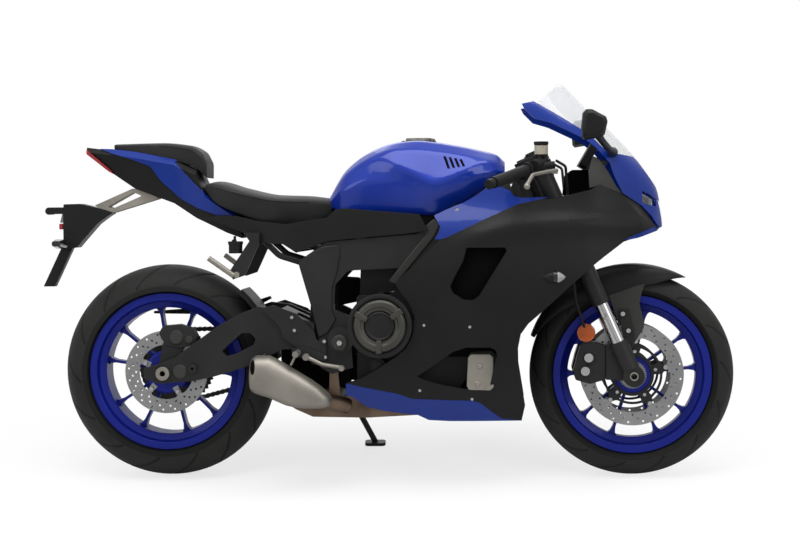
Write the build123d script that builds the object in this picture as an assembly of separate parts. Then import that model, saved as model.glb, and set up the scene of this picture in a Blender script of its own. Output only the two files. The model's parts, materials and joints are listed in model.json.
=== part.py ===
from build123d import *
import os
from math import asin, atan2, ceil, cos, degrees, hypot, pi, radians, sin, tan

# A middle-weight sport motorcycle, parked on its side stand.
# It is drawn upright, X forward, Y to the rider's left, Z up, with the ground at z = 0.
# The last step leans it onto its stand.

# ---------------------------------------------------------------- driving dimensions, millimetres
wheelbase = 1370.0
front_axle_x = 685.0  # the front axle keeps its place, and the wheelbase moves the rear one
rake = 23.67  # steering axis from the vertical, degrees
fork_offset = 38.0  # the legs' axes ahead of the steering axis
fork_spread = 105.0  # each leg from the centre plane
stand_lean = 10.0  # the parked bike leans this far to its left, degrees
fit = 0.05  # radial clearance of a shaft in its hole
seat_gap = 0.3  # between pieces that seat on each other across curved faces

front_tyre_radius = 300.0
front_tyre_width = 120.0
rear_tyre_radius = 315.0
rear_tyre_width = 180.0
rim_lip_radius = 232.0
bead_radius = 216.0
front_rim_half = 52.0
rear_rim_half = 78.0
rim_wall = 6.0
spoke_pairs = 5
spoke_split = 15.5  # each spoke of a pair from the pair's middle, degrees

front_hub_radius = 27.0
front_hub_half = 50.0
rear_hub_radius = 36.0
rear_hub_half = 62.0
axle_radius = 12.5
front_axle_bore = 8.75
rear_axle_bore = 8.0
front_axle_half = 132.0
rear_axle_half = 158.0

front_disc_radius = 149.0
front_disc_inner = 112.0
front_disc_place = 62.0
rear_disc_radius = 122.0
rear_disc_inner = 84.0
rear_disc_place = 92.0
disc_thickness = 5.0
carrier_bolt_radius = 52.0

chain_pitch = 15.875
chain_place = 106.0
chain_width = 16.0
plate_high = 15.0
plate_waist = 10.5
rear_teeth = 44
front_teeth = 16
sprocket_thickness = 6.0
drive_shaft_x = -90.0
drive_shaft_z = 400.0

outer_tube_radius = 26.0
inner_tube_radius = 20.5
lower_clamp = 430.0  # places along a leg, from the axle up
outer_tube_foot = 229.0
foot_top = 109.0
leg_top = 714.0
upper_clamp = leg_top - 24
clip_on_place = upper_clamp - 35
stem_radius = 17.0
head_bore = 24.0
steering_lock = 27.0

plate_inner = 118.0  # frame plates, from the centre plane
plate_outer = 142.0
engine_half = 124.0

panel_wall = 4.0
screen_wall = 3.0
fender_wall = 3.0

swingarm_pivot_x = -163.0
swingarm_pivot_z = 412.0
spool_hole_radius = 4.0  # M8 thread for a paddock stand spool

fuel_cap_x = 62.0
fuel_cap_radius = 38.0
filler_radius = 26.0
filler_depth = 55.0

stand_fold = 105.0  # the side stand's swing from deployed to folded, degrees
stand_axis_tilt = 25.0
stand_bolt_radius = 8.0
stand_pivot = Vector(-175, 162, 240)
stand_foot_x = -95.0
stand_foot_left = 287.0

stem_bore_radius = 9.0
plate_hole_radius = 3.0

shock_top_x = -225.0
shock_top_z = 590.0
shock_foot_x = -245.0
shock_foot_z = 340.0

seat_floor = 762.0
hanger_x = -420.0  # where the pillion footrest's hanger bolts to the subframe
hanger_z = 706.0
hanger_place = 130.0
pillion_seat_x = -700.0
pillion_seat_floor = 958.0

# The tail's outer form: x, top, bottom, half width at the top, half width at the bottom.
tail_stations = [
    (-926, 980, 964, 40, 34), (-845, 970, 900, 58, 36), (-780, 962, 856, 66, 44), (-660, 940, 812, 78, 62),
    (-592, 908, 768, 86, 76), (-562, 842, 754, 90, 82), (-500, 800, 724, 94, 90), (-440, 758, 702, 96, 94),
]

# ---------------------------------------------------------------- worked-out places
stand_axis = Vector(0, cos(radians(stand_axis_tilt)), sin(radians(stand_axis_tilt)))
tyre_drop = 1 - cos(radians(stand_lean))
rear_crown = rear_tyre_width / 2
front_crown = front_tyre_width / 2
# Leaned over, each tyre rolls onto its shoulder: the narrow one sinks less, so its axle sits lower.
axle_shift = (rear_crown - front_crown) * tyre_drop / cos(radians(stand_lean))
front_axle = Vector(front_axle_x, 0, front_tyre_radius - axle_shift)
rear_axle = Vector(front_axle_x - wheelbase, 0, rear_tyre_radius)
floor_depth = rear_crown * tyre_drop
rake_sin = sin(radians(rake))
rake_cos = cos(radians(rake))
up_leg = Vector(-rake_sin, 0, rake_cos)
ahead_of_leg = Vector(rake_cos, 0, rake_sin)


def on_leg(along, ahead=0.0, left=0.0):
    """A point of the steered front end: along the leg from the axle, ahead of it, to the left."""
    return front_axle + up_leg * along + ahead_of_leg * ahead + Vector(0, left, 0)


def floor_height(left):
    """The leaned bike's floor, at a distance to the left, in the upright bike's own frame."""
    lean = radians(stand_lean)
    return (left * sin(lean) - floor_depth) / cos(lean)


# ---------------------------------------------------------------- shapes used again and again
def tank_floor(x):
    """Height of the tank's underside where it rests on the frame."""
    return 786 + (x - 60) / 7


def tail_half(x, z, grow):
    """Half width of the tail's outer form at a place, or of a form set out from it."""
    for rear, front in zip(tail_stations, tail_stations[1:]):
        if rear[0] <= x <= front[0]:
            share = (x - rear[0]) / (front[0] - rear[0])
            top, foot, half, low_half = [a + (b - a) * share for a, b in zip(rear[1:], front[1:])]
            rise = (z - (foot - grow)) / ((top - 14) - (foot - grow))
            return low_half + (half - low_half) * rise + grow
    raise ValueError("no tail there")


def side_face(corners, left, radius=0.0):
    """A flat face across the bike's length, from (x, z) corners, at a distance to the left."""
    plane = Plane((0, left, 0), x_dir=(1, 0, 0), z_dir=(0, -1, 0))
    if radius:
        return plane * make_face(FilletPolyline(*corners, radius=radius, close=True))
    return plane * make_face(Polyline(*corners, close=True))


def slab(corners, left, right, radius=0.0):
    """A plate whose side view has (x, z) corners, from its left face to its right face."""
    return extrude(side_face(corners, left, radius), amount=left - right)


def rod(start, end, radius, bore=0.0):
    """A round bar between two points, or a tube where it has a bore."""
    start, end = Vector(start), Vector(end)
    along = end - start
    plane = Plane(start, z_dir=along)
    bar = extrude(plane * Circle(radius), amount=along.length)
    if bore:
        bar -= extrude(plane * Circle(bore), amount=along.length)
    return bar


def cross_rod(x, z, left, right, radius, bore=0.0):
    """A round bar across the bike."""
    return rod((x, left, z), (x, right, z), radius, bore)


def pipe(points, radius, bend, bore=0.0):
    """A bent tube through points, with the same bend radius at each corner."""
    path = FilletPolyline(*points, radius=bend)
    plane = Plane(path @ 0, z_dir=path % 0)
    tube = sweep(plane * Circle(radius), path=path)
    if bore:
        tube -= sweep(plane * Circle(bore), path=path)
    return tube


def turned(profile):
    """A body turned about the wheel's axis from (across, radius) corners."""
    return revolve(Plane.YZ * make_face(Polyline(*profile, close=True)), axis=Axis.Y)


def other_side(shape):
    """The same piece on the bike's other side."""
    return mirror(shape, about=Plane.XZ)


def both_sides(shape):
    return [shape, other_side(shape)]


def plan_section(height, stations, wall):
    """A level cut through a hull, from (x, half width) stations, tail first."""
    nose_x, nose_half = stations[-1]
    left = [(x, max(width - wall, nose_half / 2)) for x, width in stations[:-1]]
    left.append((nose_x - wall, max(nose_half - wall, nose_half / 2)))
    corners = left + [(x, -width) for x, width in reversed(left)]
    return Plane.XY.offset(height) * make_face(Polyline(*corners, close=True))


def hull(levels, wall=0.0):
    """A solid whose outside is a bodywork skin, set in by a wall."""
    return loft([plan_section(height, stations, wall) for height, stations in levels], ruled=True)


def cross_section(x, corners):
    """A face across the bike at x, from (left, z) corners of its left half, top first."""
    loop = corners + [(-left, z) for left, z in reversed(corners) if left > 0]
    return Plane((x, 0, 0), x_dir=(0, 1, 0), z_dir=(1, 0, 0)) * make_face(Polyline(*loop, close=True))


# ---------------------------------------------------------------- wheels
def rim(half, hub_radius, hub_half, spoke_width, spoke_half, first_pair):
    """A cast wheel: a drop-centre rim, a hub, and five pairs of spokes that flare at the rim."""
    well = bead_radius - 22
    barrel = turned(
        [
            (-half, rim_lip_radius), (-half + rim_wall, rim_lip_radius), (-half + rim_wall, bead_radius),
            (-half + 20, bead_radius - 2), (-half + 30, well), (half - 30, well),
            (half - 20, bead_radius - 2), (half - rim_wall, bead_radius), (half - rim_wall, rim_lip_radius),
            (half, rim_lip_radius), (half, bead_radius - rim_wall), (half - 24, bead_radius - 9),
            (half - 32, well - rim_wall), (-half + 32, well - rim_wall), (-half + 24, bead_radius - 9),
            (-half, bead_radius - rim_wall),
        ]
    )
    flange = carrier_bolt_radius + 8
    hub = turned(
        [
            (-hub_half, axle_radius + fit), (hub_half, axle_radius + fit), (hub_half, flange),
            (hub_half - 8, flange), (hub_half - 14, hub_radius), (-hub_half + 14, hub_radius),
            (-hub_half + 8, flange), (-hub_half, flange),
        ]
    )
    reach = well - rim_wall + 1
    root = hub_radius - 4
    flare = [
        (root, -spoke_width), (hub_radius + 24, -spoke_width / 2), (reach - 34, -spoke_width / 2),
        (reach, -spoke_width * 1.3), (reach, spoke_width * 1.3), (reach - 34, spoke_width / 2),
        (hub_radius + 24, spoke_width / 2), (root, spoke_width),
    ]
    spoke = slab(flare, spoke_half, -spoke_half)
    wheel = barrel + hub
    for pair in range(spoke_pairs):
        for side in (-1, 1):
            angle = first_pair + pair * 360 / spoke_pairs + side * spoke_split
            wheel += Rot(0, -angle, 0) * spoke
    return wheel


def tyre(radius, width, half):
    """A tyre carcass on its rim, with a round crown and hollow inside."""
    crown = width / 2
    centre = radius - crown
    wall = 9.0
    steps = 3
    outer = []
    for step in range(-steps, steps + 1):
        angle = radians(step * 78 / steps)
        outer.append((crown * sin(angle), centre + crown * cos(angle)))
    bead = half - rim_wall
    outer = [(-bead, rim_lip_radius + seat_gap)] + outer + [(bead, rim_lip_radius + seat_gap)]
    inner = [
        (bead, bead_radius), (bead - wall, bead_radius), ((crown - wall) * 0.8, centre + (crown - wall) * 0.5),
        (-(crown - wall) * 0.8, centre + (crown - wall) * 0.5), (-bead + wall, bead_radius), (-bead, bead_radius),
    ]
    return turned(outer + inner)


def brake_disc(radius, inner, place, hub_half):
    """A brake ring on five carrier arms, bolted to the hub."""
    ring = turned(
        [
            (place - disc_thickness / 2, inner), (place - disc_thickness / 2, radius),
            (place + disc_thickness / 2, radius), (place + disc_thickness / 2, inner),
        ]
    )
    carrier = turned(
        [
            (hub_half, axle_radius + 14), (hub_half, carrier_bolt_radius + 8),
            (place + disc_thickness / 2, carrier_bolt_radius + 8), (place + disc_thickness / 2, axle_radius + 14),
        ]
    )
    arm = slab([(carrier_bolt_radius, -11), (inner + 3, -8), (inner + 3, 8), (carrier_bolt_radius, 11)],
               place + disc_thickness / 2, place - disc_thickness / 2)
    disc = ring + carrier
    for number in range(5):
        disc += Rot(0, -number * 72 - 18, 0) * arm
    return disc


def sprocket(teeth, thickness, place, inner):
    """A chain wheel with its teeth, turned to place across the bike."""
    pitch_radius = chain_pitch / (2 * sin(pi / teeth))
    corners = []
    for tooth in range(teeth):
        for part, height in ((0.0, -3.6), (0.5, 4.2)):
            angle = 2 * pi * (tooth + part) / teeth
            corners.append(((pitch_radius + height) * cos(angle), (pitch_radius + height) * sin(angle)))
    wheel = slab(corners, place + thickness / 2, place - thickness / 2)
    return wheel - cross_rod(0, 0, place + thickness, place - thickness, inner)


def at_front(shape):
    return Pos(front_axle) * shape


def at_rear(shape):
    return Pos(rear_axle) * shape


def front_wheel():
    disc = brake_disc(front_disc_radius, front_disc_inner, front_disc_place, front_hub_half)
    return {
        "front_rim": [at_front(rim(front_rim_half, front_hub_radius, front_hub_half, 10, 17, 20.5))],
        "front_tyre": [at_front(tyre(front_tyre_radius, front_tyre_width, front_rim_half))],
        "front_discs": [at_front(shape) for shape in both_sides(disc)],
    }


def rear_wheel():
    disc = other_side(brake_disc(rear_disc_radius, rear_disc_inner, rear_disc_place, rear_hub_half))
    cush = turned(
        [
            (rear_hub_half, axle_radius + 8), (rear_hub_half, 62), (chain_place - sprocket_thickness / 2, 62),
            (chain_place - sprocket_thickness / 2, axle_radius + 8),
        ]
    )
    chain_wheel = sprocket(rear_teeth, sprocket_thickness, chain_place, 48) + cush
    return {
        "rear_rim": [at_rear(rim(rear_rim_half, rear_hub_radius, rear_hub_half, 11, 22, 11.5))],
        "rear_tyre": [at_rear(tyre(rear_tyre_radius, rear_tyre_width, rear_rim_half))],
        "rear_disc": [at_rear(disc)],
        "rear_sprocket": [at_rear(chain_wheel)],
    }


# ---------------------------------------------------------------- drive chain
def drive_chain():
    """One loop of links, waisted between the pins, round both chain wheels."""
    big = chain_pitch / (2 * sin(pi / rear_teeth))
    small = chain_pitch / (2 * sin(pi / front_teeth))
    span_x = drive_shaft_x - rear_axle.X
    span_z = drive_shaft_z - rear_axle.Z
    span = hypot(span_x, span_z)
    tilt = atan2(span_z, span_x)
    wrap = asin((big - small) / span)
    run = span * cos(wrap)
    # The loop's four stretches: (kind, length), starting where the lower run leaves the big wheel.
    around_small = small * (pi - 2 * wrap)
    around_big = big * (pi + 2 * wrap)
    whole = 2 * run + around_small + around_big
    links = 2 * round(whole / chain_pitch / 2)

    def place_at(distance):
        """Centre point and outward direction of the loop, in the wheels' side view."""
        low = tilt - pi / 2 + wrap
        high = tilt + pi / 2 - wrap
        if distance < run:
            foot = (rear_axle.X + big * cos(low), rear_axle.Z + big * sin(low))
            out = (cos(low), sin(low))
            return (foot[0] - out[1] * distance, foot[1] + out[0] * distance), out
        distance -= run
        if distance < around_small:
            angle = low + distance / small
            out = (cos(angle), sin(angle))
            return (drive_shaft_x + small * out[0], drive_shaft_z + small * out[1]), out
        distance -= around_small
        if distance < run:
            foot = (drive_shaft_x + small * cos(high), drive_shaft_z + small * sin(high))
            out = (cos(high), sin(high))
            return (foot[0] - out[1] * distance, foot[1] + out[0] * distance), out
        distance -= run
        angle = high + distance / big
        out = (cos(angle), sin(angle))
        return (rear_axle.X + big * out[0], rear_axle.Z + big * out[1]), out

    outside, inside = [], []
    for number in range(2 * links):
        (x, z), (out_x, out_z) = place_at(number * whole / (2 * links))
        half = (plate_high if number % 2 == 0 else plate_waist) / 2
        outside.append((x + out_x * half, z + out_z * half))
        inside.append((x - out_x * half, z - out_z * half))
    left, right = chain_place + chain_width / 2, chain_place - chain_width / 2
    band = slab(outside, left, right) - slab(inside, left + 1, right - 1)
    room = sprocket_thickness / 2 + 1.2
    for x, z, radius in ((rear_axle.X, rear_axle.Z, big), (drive_shaft_x, drive_shaft_z, small)):
        band -= cross_rod(x, z, chain_place + room, chain_place - room, radius + 6.0)
    return {"drive_chain": [band]}


# ---------------------------------------------------------------- frame, engine and running gear
def frame():
    """Twin spars from the steering head to the swingarm plates."""
    head = rod(on_leg(lower_clamp + 26, -fork_offset), on_leg(upper_clamp - 20, -fork_offset), 34, head_bore)
    nose = slab([(395, 745), (425, 770), (378, 872), (341, 870), (315, 800), (330, 760)], 78, -78, 8)
    nose -= rod(on_leg(lower_clamp - 60, -fork_offset), on_leg(upper_clamp + 60, -fork_offset), 34)
    # The fork legs swing past the head's flanks.
    steering_axis = Axis(on_leg(0, -fork_offset), up_leg)
    for side in (1, -1):
        leg_room = rod(
            on_leg(lower_clamp - 60, 0, side * fork_spread), on_leg(upper_clamp + 60, 0, side * fork_spread), 42
        )
        for share in (-1, -0.5, 0, 0.5, 1):
            nose -= leg_room.rotate(steering_axis, share * steering_lock)
    spar = slab(
        [
            (330, 860), (352, 800), (300, 742), (150, 690), (70, 622), (-140, 612), (-178, 572), (-182, 500),
            (-140, 480), (-128, 330), (-190, 312), (-222, 330), (-226, 400), (-236, 470), (-285, 640),
            (-205, 695), (60, 716), (180, 790),
        ],
        plate_outer, plate_inner,
    )
    lug = cross_rod(swingarm_pivot_x, swingarm_pivot_z, plate_outer + 10, plate_inner, 38)
    pivot_hole = cross_rod(swingarm_pivot_x, swingarm_pivot_z, 160, 100, 15 + fit)
    joint = slab([(330, 860), (352, 800), (322, 765), (318, 802)], plate_inner, 78)
    # The tank rests on a lug inside each spar, and the side cover clips to a tab above it.
    mount_x, mount_radius = 170, 9
    floor_slope = atan2(tank_floor(200) - tank_floor(60), 140)
    tank_mount = cross_rod(
        mount_x, tank_floor(mount_x) - (mount_radius + seat_gap) / cos(floor_slope), plate_inner + 6, 80, mount_radius
    )
    tab = slab([(-120, 690), (-90, 690), (-96, 742), (-114, 742)], plate_outer, plate_outer - 6)
    left = spar + lug - pivot_hole + joint + tank_mount + tab
    cross = cross_rod(shock_top_x, shock_top_z, plate_inner, -plate_inner, 12)
    # The side stand bolts to a bracket under the left plate.
    stand_boss = rod(stand_pivot - stand_axis * 40, stand_pivot - stand_axis * 12.3, 16)
    stand_bolt = rod(stand_pivot - stand_axis * 20, stand_pivot + stand_axis * 16, stand_bolt_radius)
    stand_bolt += rod(stand_pivot + stand_axis * 12.4, stand_pivot + stand_axis * 18, 13)
    ahead_of_pivot, above_pivot = stand_pivot.X, stand_pivot.Z
    bracket_corners = [
        (ahead_of_pivot + 19, 335), (ahead_of_pivot - 30, 335), (ahead_of_pivot - 28, above_pivot - 10),
        (ahead_of_pivot - 15, above_pivot - 30), (ahead_of_pivot + 13, above_pivot - 30),
        (ahead_of_pivot + 19, above_pivot - 15),
    ]
    bracket = slab(bracket_corners, 138, 122, 4)
    return {
        "frame_head": [head + nose],
        "frame_left": [left + bracket + stand_boss + stand_bolt],
        "frame_right": [other_side(left) + cross],
    }


def subframe():
    upper = [(-205, 102, 672), (-330, 96, 706), (-460, 74, 742), (-640, 48, 830), (-800, 30, 895)]
    lower = [(-262, 104, 630), (-345, 100, 656), (-418, 82, 726)]
    rails = pipe(upper, 11, 60) + pipe(lower, 9, 40)
    seat_post = rod((-330, 94, 706), (-330, 94, seat_floor - seat_gap), 8)
    hanger_lug = cross_rod(hanger_x, hanger_z, hanger_place - seat_gap, 80, 8)
    rails += seat_post + hanger_lug
    bar_x, bar_z, bar_radius = -700, 855, 9
    reach = tail_half(bar_x - 0.6 * bar_radius, bar_z - 0.6 * bar_radius, -panel_wall) - seat_gap
    cross = cross_rod(-440, 736, 76, -76, bar_radius) + cross_rod(bar_x, bar_z, reach, -reach, bar_radius)
    return {"subframe": [rails + other_side(rails) + cross]}


def engine():
    block = slab(
        [
            (-118, 250), (150, 232), (205, 300), (225, 400), (262, 560), (240, 600), (40, 596), (-20, 540),
            (-118, 540),
        ],
        engine_half, -engine_half, 12,
    )
    # The throttle bodies and the air box stand above it, between the spars.
    block += slab([(-112, 530), (-104, 700), (-90, 779), (140, 779), (166, 640), (200, 590)], 84, -84)
    # The chain runs in a recess at the left rear.
    block -= slab([(-140, 200), (-8, 200), (-8, 480), (-140, 480)], 200, 88)
    clutch_x, clutch_z = -38, 450
    clutch = cross_rod(clutch_x, clutch_z, -engine_half, -182, 90) + cross_rod(clutch_x, clutch_z, -182, -200, 83)
    clutch += cross_rod(clutch_x, clutch_z, -200, -220, 70) + cross_rod(clutch_x, clutch_z, -220, -228, 40)
    for angle in (95, 218, 320):
        lug_x = clutch_x + 88 * cos(radians(angle))
        lug_z = clutch_z + 88 * sin(radians(angle))
        clutch += cross_rod(lug_x, lug_z, -engine_half, -185, 12)
    water_pump = cross_rod(-55, 334, -engine_half, -158, 24) + cross_rod(-55, 334, -158, -165, 15)
    stator = cross_rod(75, 400, 170, engine_half, 78) + cross_rod(75, 400, 184, 170, 55)
    case_inner = chain_place + chain_width / 2 + 4
    chain_case = cross_rod(drive_shaft_x, drive_shaft_z, case_inner + 14, case_inner, 62)
    chain_case -= slab([(-200, 300), (-122, 300), (-122, 500), (-200, 500)], 150, 100)
    shaft = cross_rod(drive_shaft_x, drive_shaft_z, case_inner, 88, 14)
    small_wheel = Pos(drive_shaft_x, 0, drive_shaft_z) * sprocket(front_teeth, sprocket_thickness, chain_place, 14)
    guard = slab([(205, 280), (212, 270), (275, 278), (287, 300), (287, 365), (275, 380), (215, 376), (205, 362)],
                 -150, -172, 6)
    guard += cross_rod(212, 366, -engine_half, -152, 8)
    return {
        "engine_block": [block],
        "engine_covers": [clutch, water_pump, stator, chain_case + shaft + small_wheel, guard],
    }


def cooling_and_exhaust():
    core = slab([(306, 330), (340, 330), (390, 606), (358, 606)], 150, -150)
    stay = rod((366, 146, 598), (324, 146, 776), 4) + cross_rod(324, 778, 150, plate_outer + seat_gap, 12)
    headers = []
    for left in (-72, -24, 24, 72):
        bends = [(288, left, 470), (276, left, 250), (196, left * 0.8, 208)]
        headers.append(pipe([(274, left, 512), *bends, (55, left * 0.6, 208)], 18, 34))
        headers.append(rod((256, left, 512), (278, left, 512), 20))
    box = slab(
        [(62, 188), (-90, 180), (-250, 183), (-300, 205), (-332, 226), (-205, 262), (-160, 244), (62, 229)],
        72, -108, 8,
    )
    hanger = slab([(-202, 240), (-168, 236), (-176, 332), (-198, 332)], -102, -plate_inner + seat_gap)
    collector = box + hanger
    for header in headers:
        collector += header
    link = pipe([(-150, -100, 215), (-215, -150, 235), (-240, -185, 250)], 24, 60)
    collector += link
    can = [
        (-436, 370), (-400, 376), (-330, 350), (-255, 294), (-205, 259), (-205, 223), (-255, 222), (-330, 234),
        (-400, 264), (-436, 282),
    ]
    can_middle, can_half, edge = -197, 51, 17
    flats = [side_face(can, can_middle + side * (can_half - edge)) for side in (1, -1)]
    ends = [offset(side_face(can, can_middle + side * can_half), -edge, kind=Kind.INTERSECTION) for side in (1, -1)]
    silencer = loft([ends[0], flats[0], flats[1], ends[1]], ruled=True)
    silencer -= rod((-445, can_middle, 330), (-395, can_middle, 326), 27)
    silencer -= link
    return {
        "radiator": [core + stay + other_side(stay)],
        "exhaust_pipes": [collector],
        "silencer": [silencer],
    }


def rear_suspension():
    back = rear_axle.X
    joint_x, arm_outer, arm_inner = back + 25, 144, 118
    arm = slab(
        [
            (joint_x, 356.4), (back + 35, 360), (-600, 398), (-520, 455), (-450, 492), (-400, 509),
            (-340, 502), (-240, 456), (-240, 384), (-330, 384), (-380, 362), (-450, 330), (-540, 304),
            (-600, 292), (joint_x, 287.8),
        ],
        arm_outer, arm_inner,
    )
    # The arm's end plates carry the axle, and a threaded boss on each side takes a paddock stand spool.
    end_plate = slab(
        [(back - 57, 330), (back - 15, 342), (joint_x, 356.4), (joint_x, 287.8), (back - 15, 285), (back - 57, 300)],
        arm_outer, arm_inner,
    )
    end_plate -= cross_rod(rear_axle.X, rear_axle.Z, 160, 100, axle_radius + fit)
    spool_boss = cross_rod(back + 89, 330, arm_outer + 22, arm_outer, 12, spool_hole_radius)
    arm -= slab([(-512, 380), (-498, 364), (-470, 372), (-418, 398), (-412, 416), (-428, 432), (-452, 432)],
                150, 112, 6)
    bridge = slab([(-345, 424), (-345, 384), (-330, 384), (-240, 384), (-240, 424)], 118, 80)
    side = arm + bridge
    beam = slab(
        [(-345, 500), (-250, 455), (-200, 446), (-163, 440), (-140, 424), (-140, 396), (-163, 384), (-345, 384)],
        84, -84, 0,
    )
    beam -= slab([(-305, 520), (-196, 520), (-196, 300), (-305, 300)], 42, -42)
    pin = cross_rod(shock_foot_x, shock_foot_z, 44, -44, 8)
    lugs = slab([(-262, 386), (-228, 386), (-232, 330), (-258, 330)], 58, 42)
    shaft = cross_rod(swingarm_pivot_x, swingarm_pivot_z, 156, -156, 15)
    swingarm = side + other_side(side) + beam + lugs + other_side(lugs) + pin + shaft
    foot = Vector(shock_foot_x, 0, shock_foot_z)
    top = Vector(shock_top_x, 0, shock_top_z)
    along = (top - foot).normalized()
    shock = rod(foot + along * 14, top - along * 16, 17) + rod(foot + along * 40, top - along * 40, 33)
    shock += cross_rod(shock_foot_x, shock_foot_z, 20, -20, 18) + cross_rod(shock_top_x, shock_top_z, 20, -20, 22)
    shock -= cross_rod(shock_foot_x, shock_foot_z, 30, -30, 8 + fit)
    shock -= cross_rod(shock_top_x, shock_top_z, 30, -30, 12 + fit)
    axle = cross_rod(rear_axle.X, rear_axle.Z, rear_axle_half, -rear_axle_half, axle_radius)
    axle += cross_rod(rear_axle.X, rear_axle.Z, rear_axle_half, arm_outer, 20)
    axle += cross_rod(rear_axle.X, rear_axle.Z, -arm_outer, -rear_axle_half, 20)
    axle -= cross_rod(rear_axle.X, rear_axle.Z, 200, -200, rear_axle_bore)
    caliper = at_rear(slab(
        [(-17, 115), (-5, 137), (45, 141), (85, 129), (97, 105), (85, 81), (45, 71), (3, 79)], -74, -114, 6,
    ))
    caliper -= Pos(rear_axle) * cross_rod(0, 0, -rear_disc_place + 4, -rear_disc_place - 4, rear_disc_radius + 4)
    stay = at_rear(slab([(-27, -19), (21, -25), (57, 85), (-5, 90)], -98, -112, 8))
    stay -= cross_rod(rear_axle.X, rear_axle.Z, -90, -120, axle_radius + fit)
    guard = slab(
        [(back - 73, 476), (back - 71, 484), (-560, 498), (-470, 506), (-400, 528), (-396, 520), (-470, 480),
         (-560, 472)],
        116, 112,
    )
    guard += slab([(back - 73, 478), (back - 71, 484), (-560, 498), (-470, 506), (-400, 528), (-398, 523),
                   (-470, 501), (-560, 493)], 116, 98)
    guard += cross_rod(-440, 494, 118, 112, 7)
    tread = rear_tyre_radius
    bow = Polyline(
        (-97, tread + 2), (-82, tread + 16), (82, tread + 16), (97, tread + 2), (94, tread + 1), (80, tread + 13),
        (-80, tread + 13), (-94, tread + 1), close=True,
    )
    hugger = at_rear(Rot(0, 43, 0) * revolve(Plane.YZ * make_face(bow), axis=Axis.Y, revolution_arc=41))
    hugger_arm = cross_rod(back + 283, 474, arm_inner, 92, 6)
    hugger += hugger_arm + other_side(hugger_arm)
    return {
        "swingarm": [swingarm],
        "swingarm_ends": both_sides(end_plate) + both_sides(spool_boss),
        "rear_shock": [shock],
        "rear_axle": [axle],
        "rear_caliper": [caliper + stay],
        "rear_guards": [guard, hugger],
    }


# ---------------------------------------------------------------- tank, seats and tail
def tank():
    sections = []
    # along, crown (height, half), shoulder (height, half), knee (height, half), foot (height, half)
    for x, crown_z, crown, shoulder_z, shoulder, knee_z, knee, foot_z, foot in (
        (-206, 818, 22, 812, 40, 806, 46, 799, 44),
        (-150, 904, 40, 880, 82, 850, 90, 800, 86),
        (-60, 968, 62, 925, 128, 872, 114, 794, 100),
        (60, 988, 70, 948, 150, 880, 128, tank_floor(60), 116),
        (200, 966, 66, 926, 148, 880, 120, tank_floor(200), 110),
        (290, 947, 52, 914, 118, 896, 106, 872, 96),
        (316, 922, 38, 906, 78, 896, 80, 884, 74),
    ):
        corners = [(0, crown_z + 3), (crown, crown_z), (shoulder, shoulder_z), (knee, knee_z), (foot, foot_z)]
        sections.append(cross_section(x, corners))
    body = loft(sections, ruled=True)
    top = 991.0
    ring = Pos(fuel_cap_x, 0, 0) * extrude(Plane.XY.offset(972) * Circle(fuel_cap_radius + 12), amount=top - 972)
    hinge_x = fuel_cap_x + fuel_cap_radius + 8
    ears = slab([(hinge_x - 5, top - 4), (hinge_x + 5, top - 4), (hinge_x + 5, top + 6), (hinge_x - 5, top + 6)],
                18, 10.5)
    bore = Pos(fuel_cap_x, 0, 0) * extrude(Plane.XY.offset(top) * Circle(filler_radius), amount=-filler_depth)
    body = body + ring + ears + other_side(ears) - bore
    body -= cross_rod(hinge_x, top + 3, 20, -20, 2.5 + fit)
    lid_foot = top + seat_gap
    lid = Pos(fuel_cap_x, 0, 0) * extrude(Plane.XY.offset(lid_foot) * Circle(fuel_cap_radius), amount=7)
    lid += Pos(fuel_cap_x, 0, 0) * extrude(Plane.XY.offset(lid_foot) * Circle(filler_radius - 1.5), amount=-8)
    lid += slab([(hinge_x - 16, lid_foot), (hinge_x, lid_foot), (hinge_x, lid_foot + 5.4),
                 (hinge_x - 16, lid_foot + 7)], 10, -10)
    lid += cross_rod(hinge_x, top + 3, 17.5, -17.5, 2.5)
    return {"fuel_tank": [body], "fuel_cap": [lid]}


def loft_along(stations):
    """A body through sections across the bike: (x, top, crown half, edge, edge half, foot, foot half)."""
    sections = []
    for x, top, crown, edge_z, edge, foot_z, foot in stations:
        sections.append(cross_section(x, [(0, top + 2), (crown, top), (edge, edge_z), (foot, foot_z)]))
    return loft(sections, ruled=True)


def seats():
    rider = loft_along(
        [
            (-562, 870, 60, 864, 90, 846, 86), (-530, 874, 70, 860, 112, 823, 104), (-450, 853, 80, 838, 130, 784, 110),
            (-350, 832, 70, 818, 126, seat_floor, 104), (-260, 828, 45, 815, 90, seat_floor, 82),
            (-212, 824, 28, 810, 56, 778, 52),
        ]
    )
    pillion = loft_along(
        [
            (-842, 988, 24, 985, 38, 981, 36), (pillion_seat_x, 990, 46, 982, 60, pillion_seat_floor, 58),
            (-612, 981, 56, 970, 70, 930, 64), (-578, 963, 58, 948, 74, 904, 66), (-562, 934, 54, 924, 68, 886, 62),
        ]
    )
    return {"rider_seat": [rider], "pillion_seat": [pillion]}


def tail_body(grow):
    """The tail's outer form, set out by a distance."""
    sections = []
    for x, top, foot, half, low_half in tail_stations:
        corners = [(0, top + grow), (half * 0.8, top + grow), (half + grow, top - 14), (low_half + grow, foot - grow)]
        sections.append(cross_section(x, corners))
    return loft(sections, ruled=True)


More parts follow.
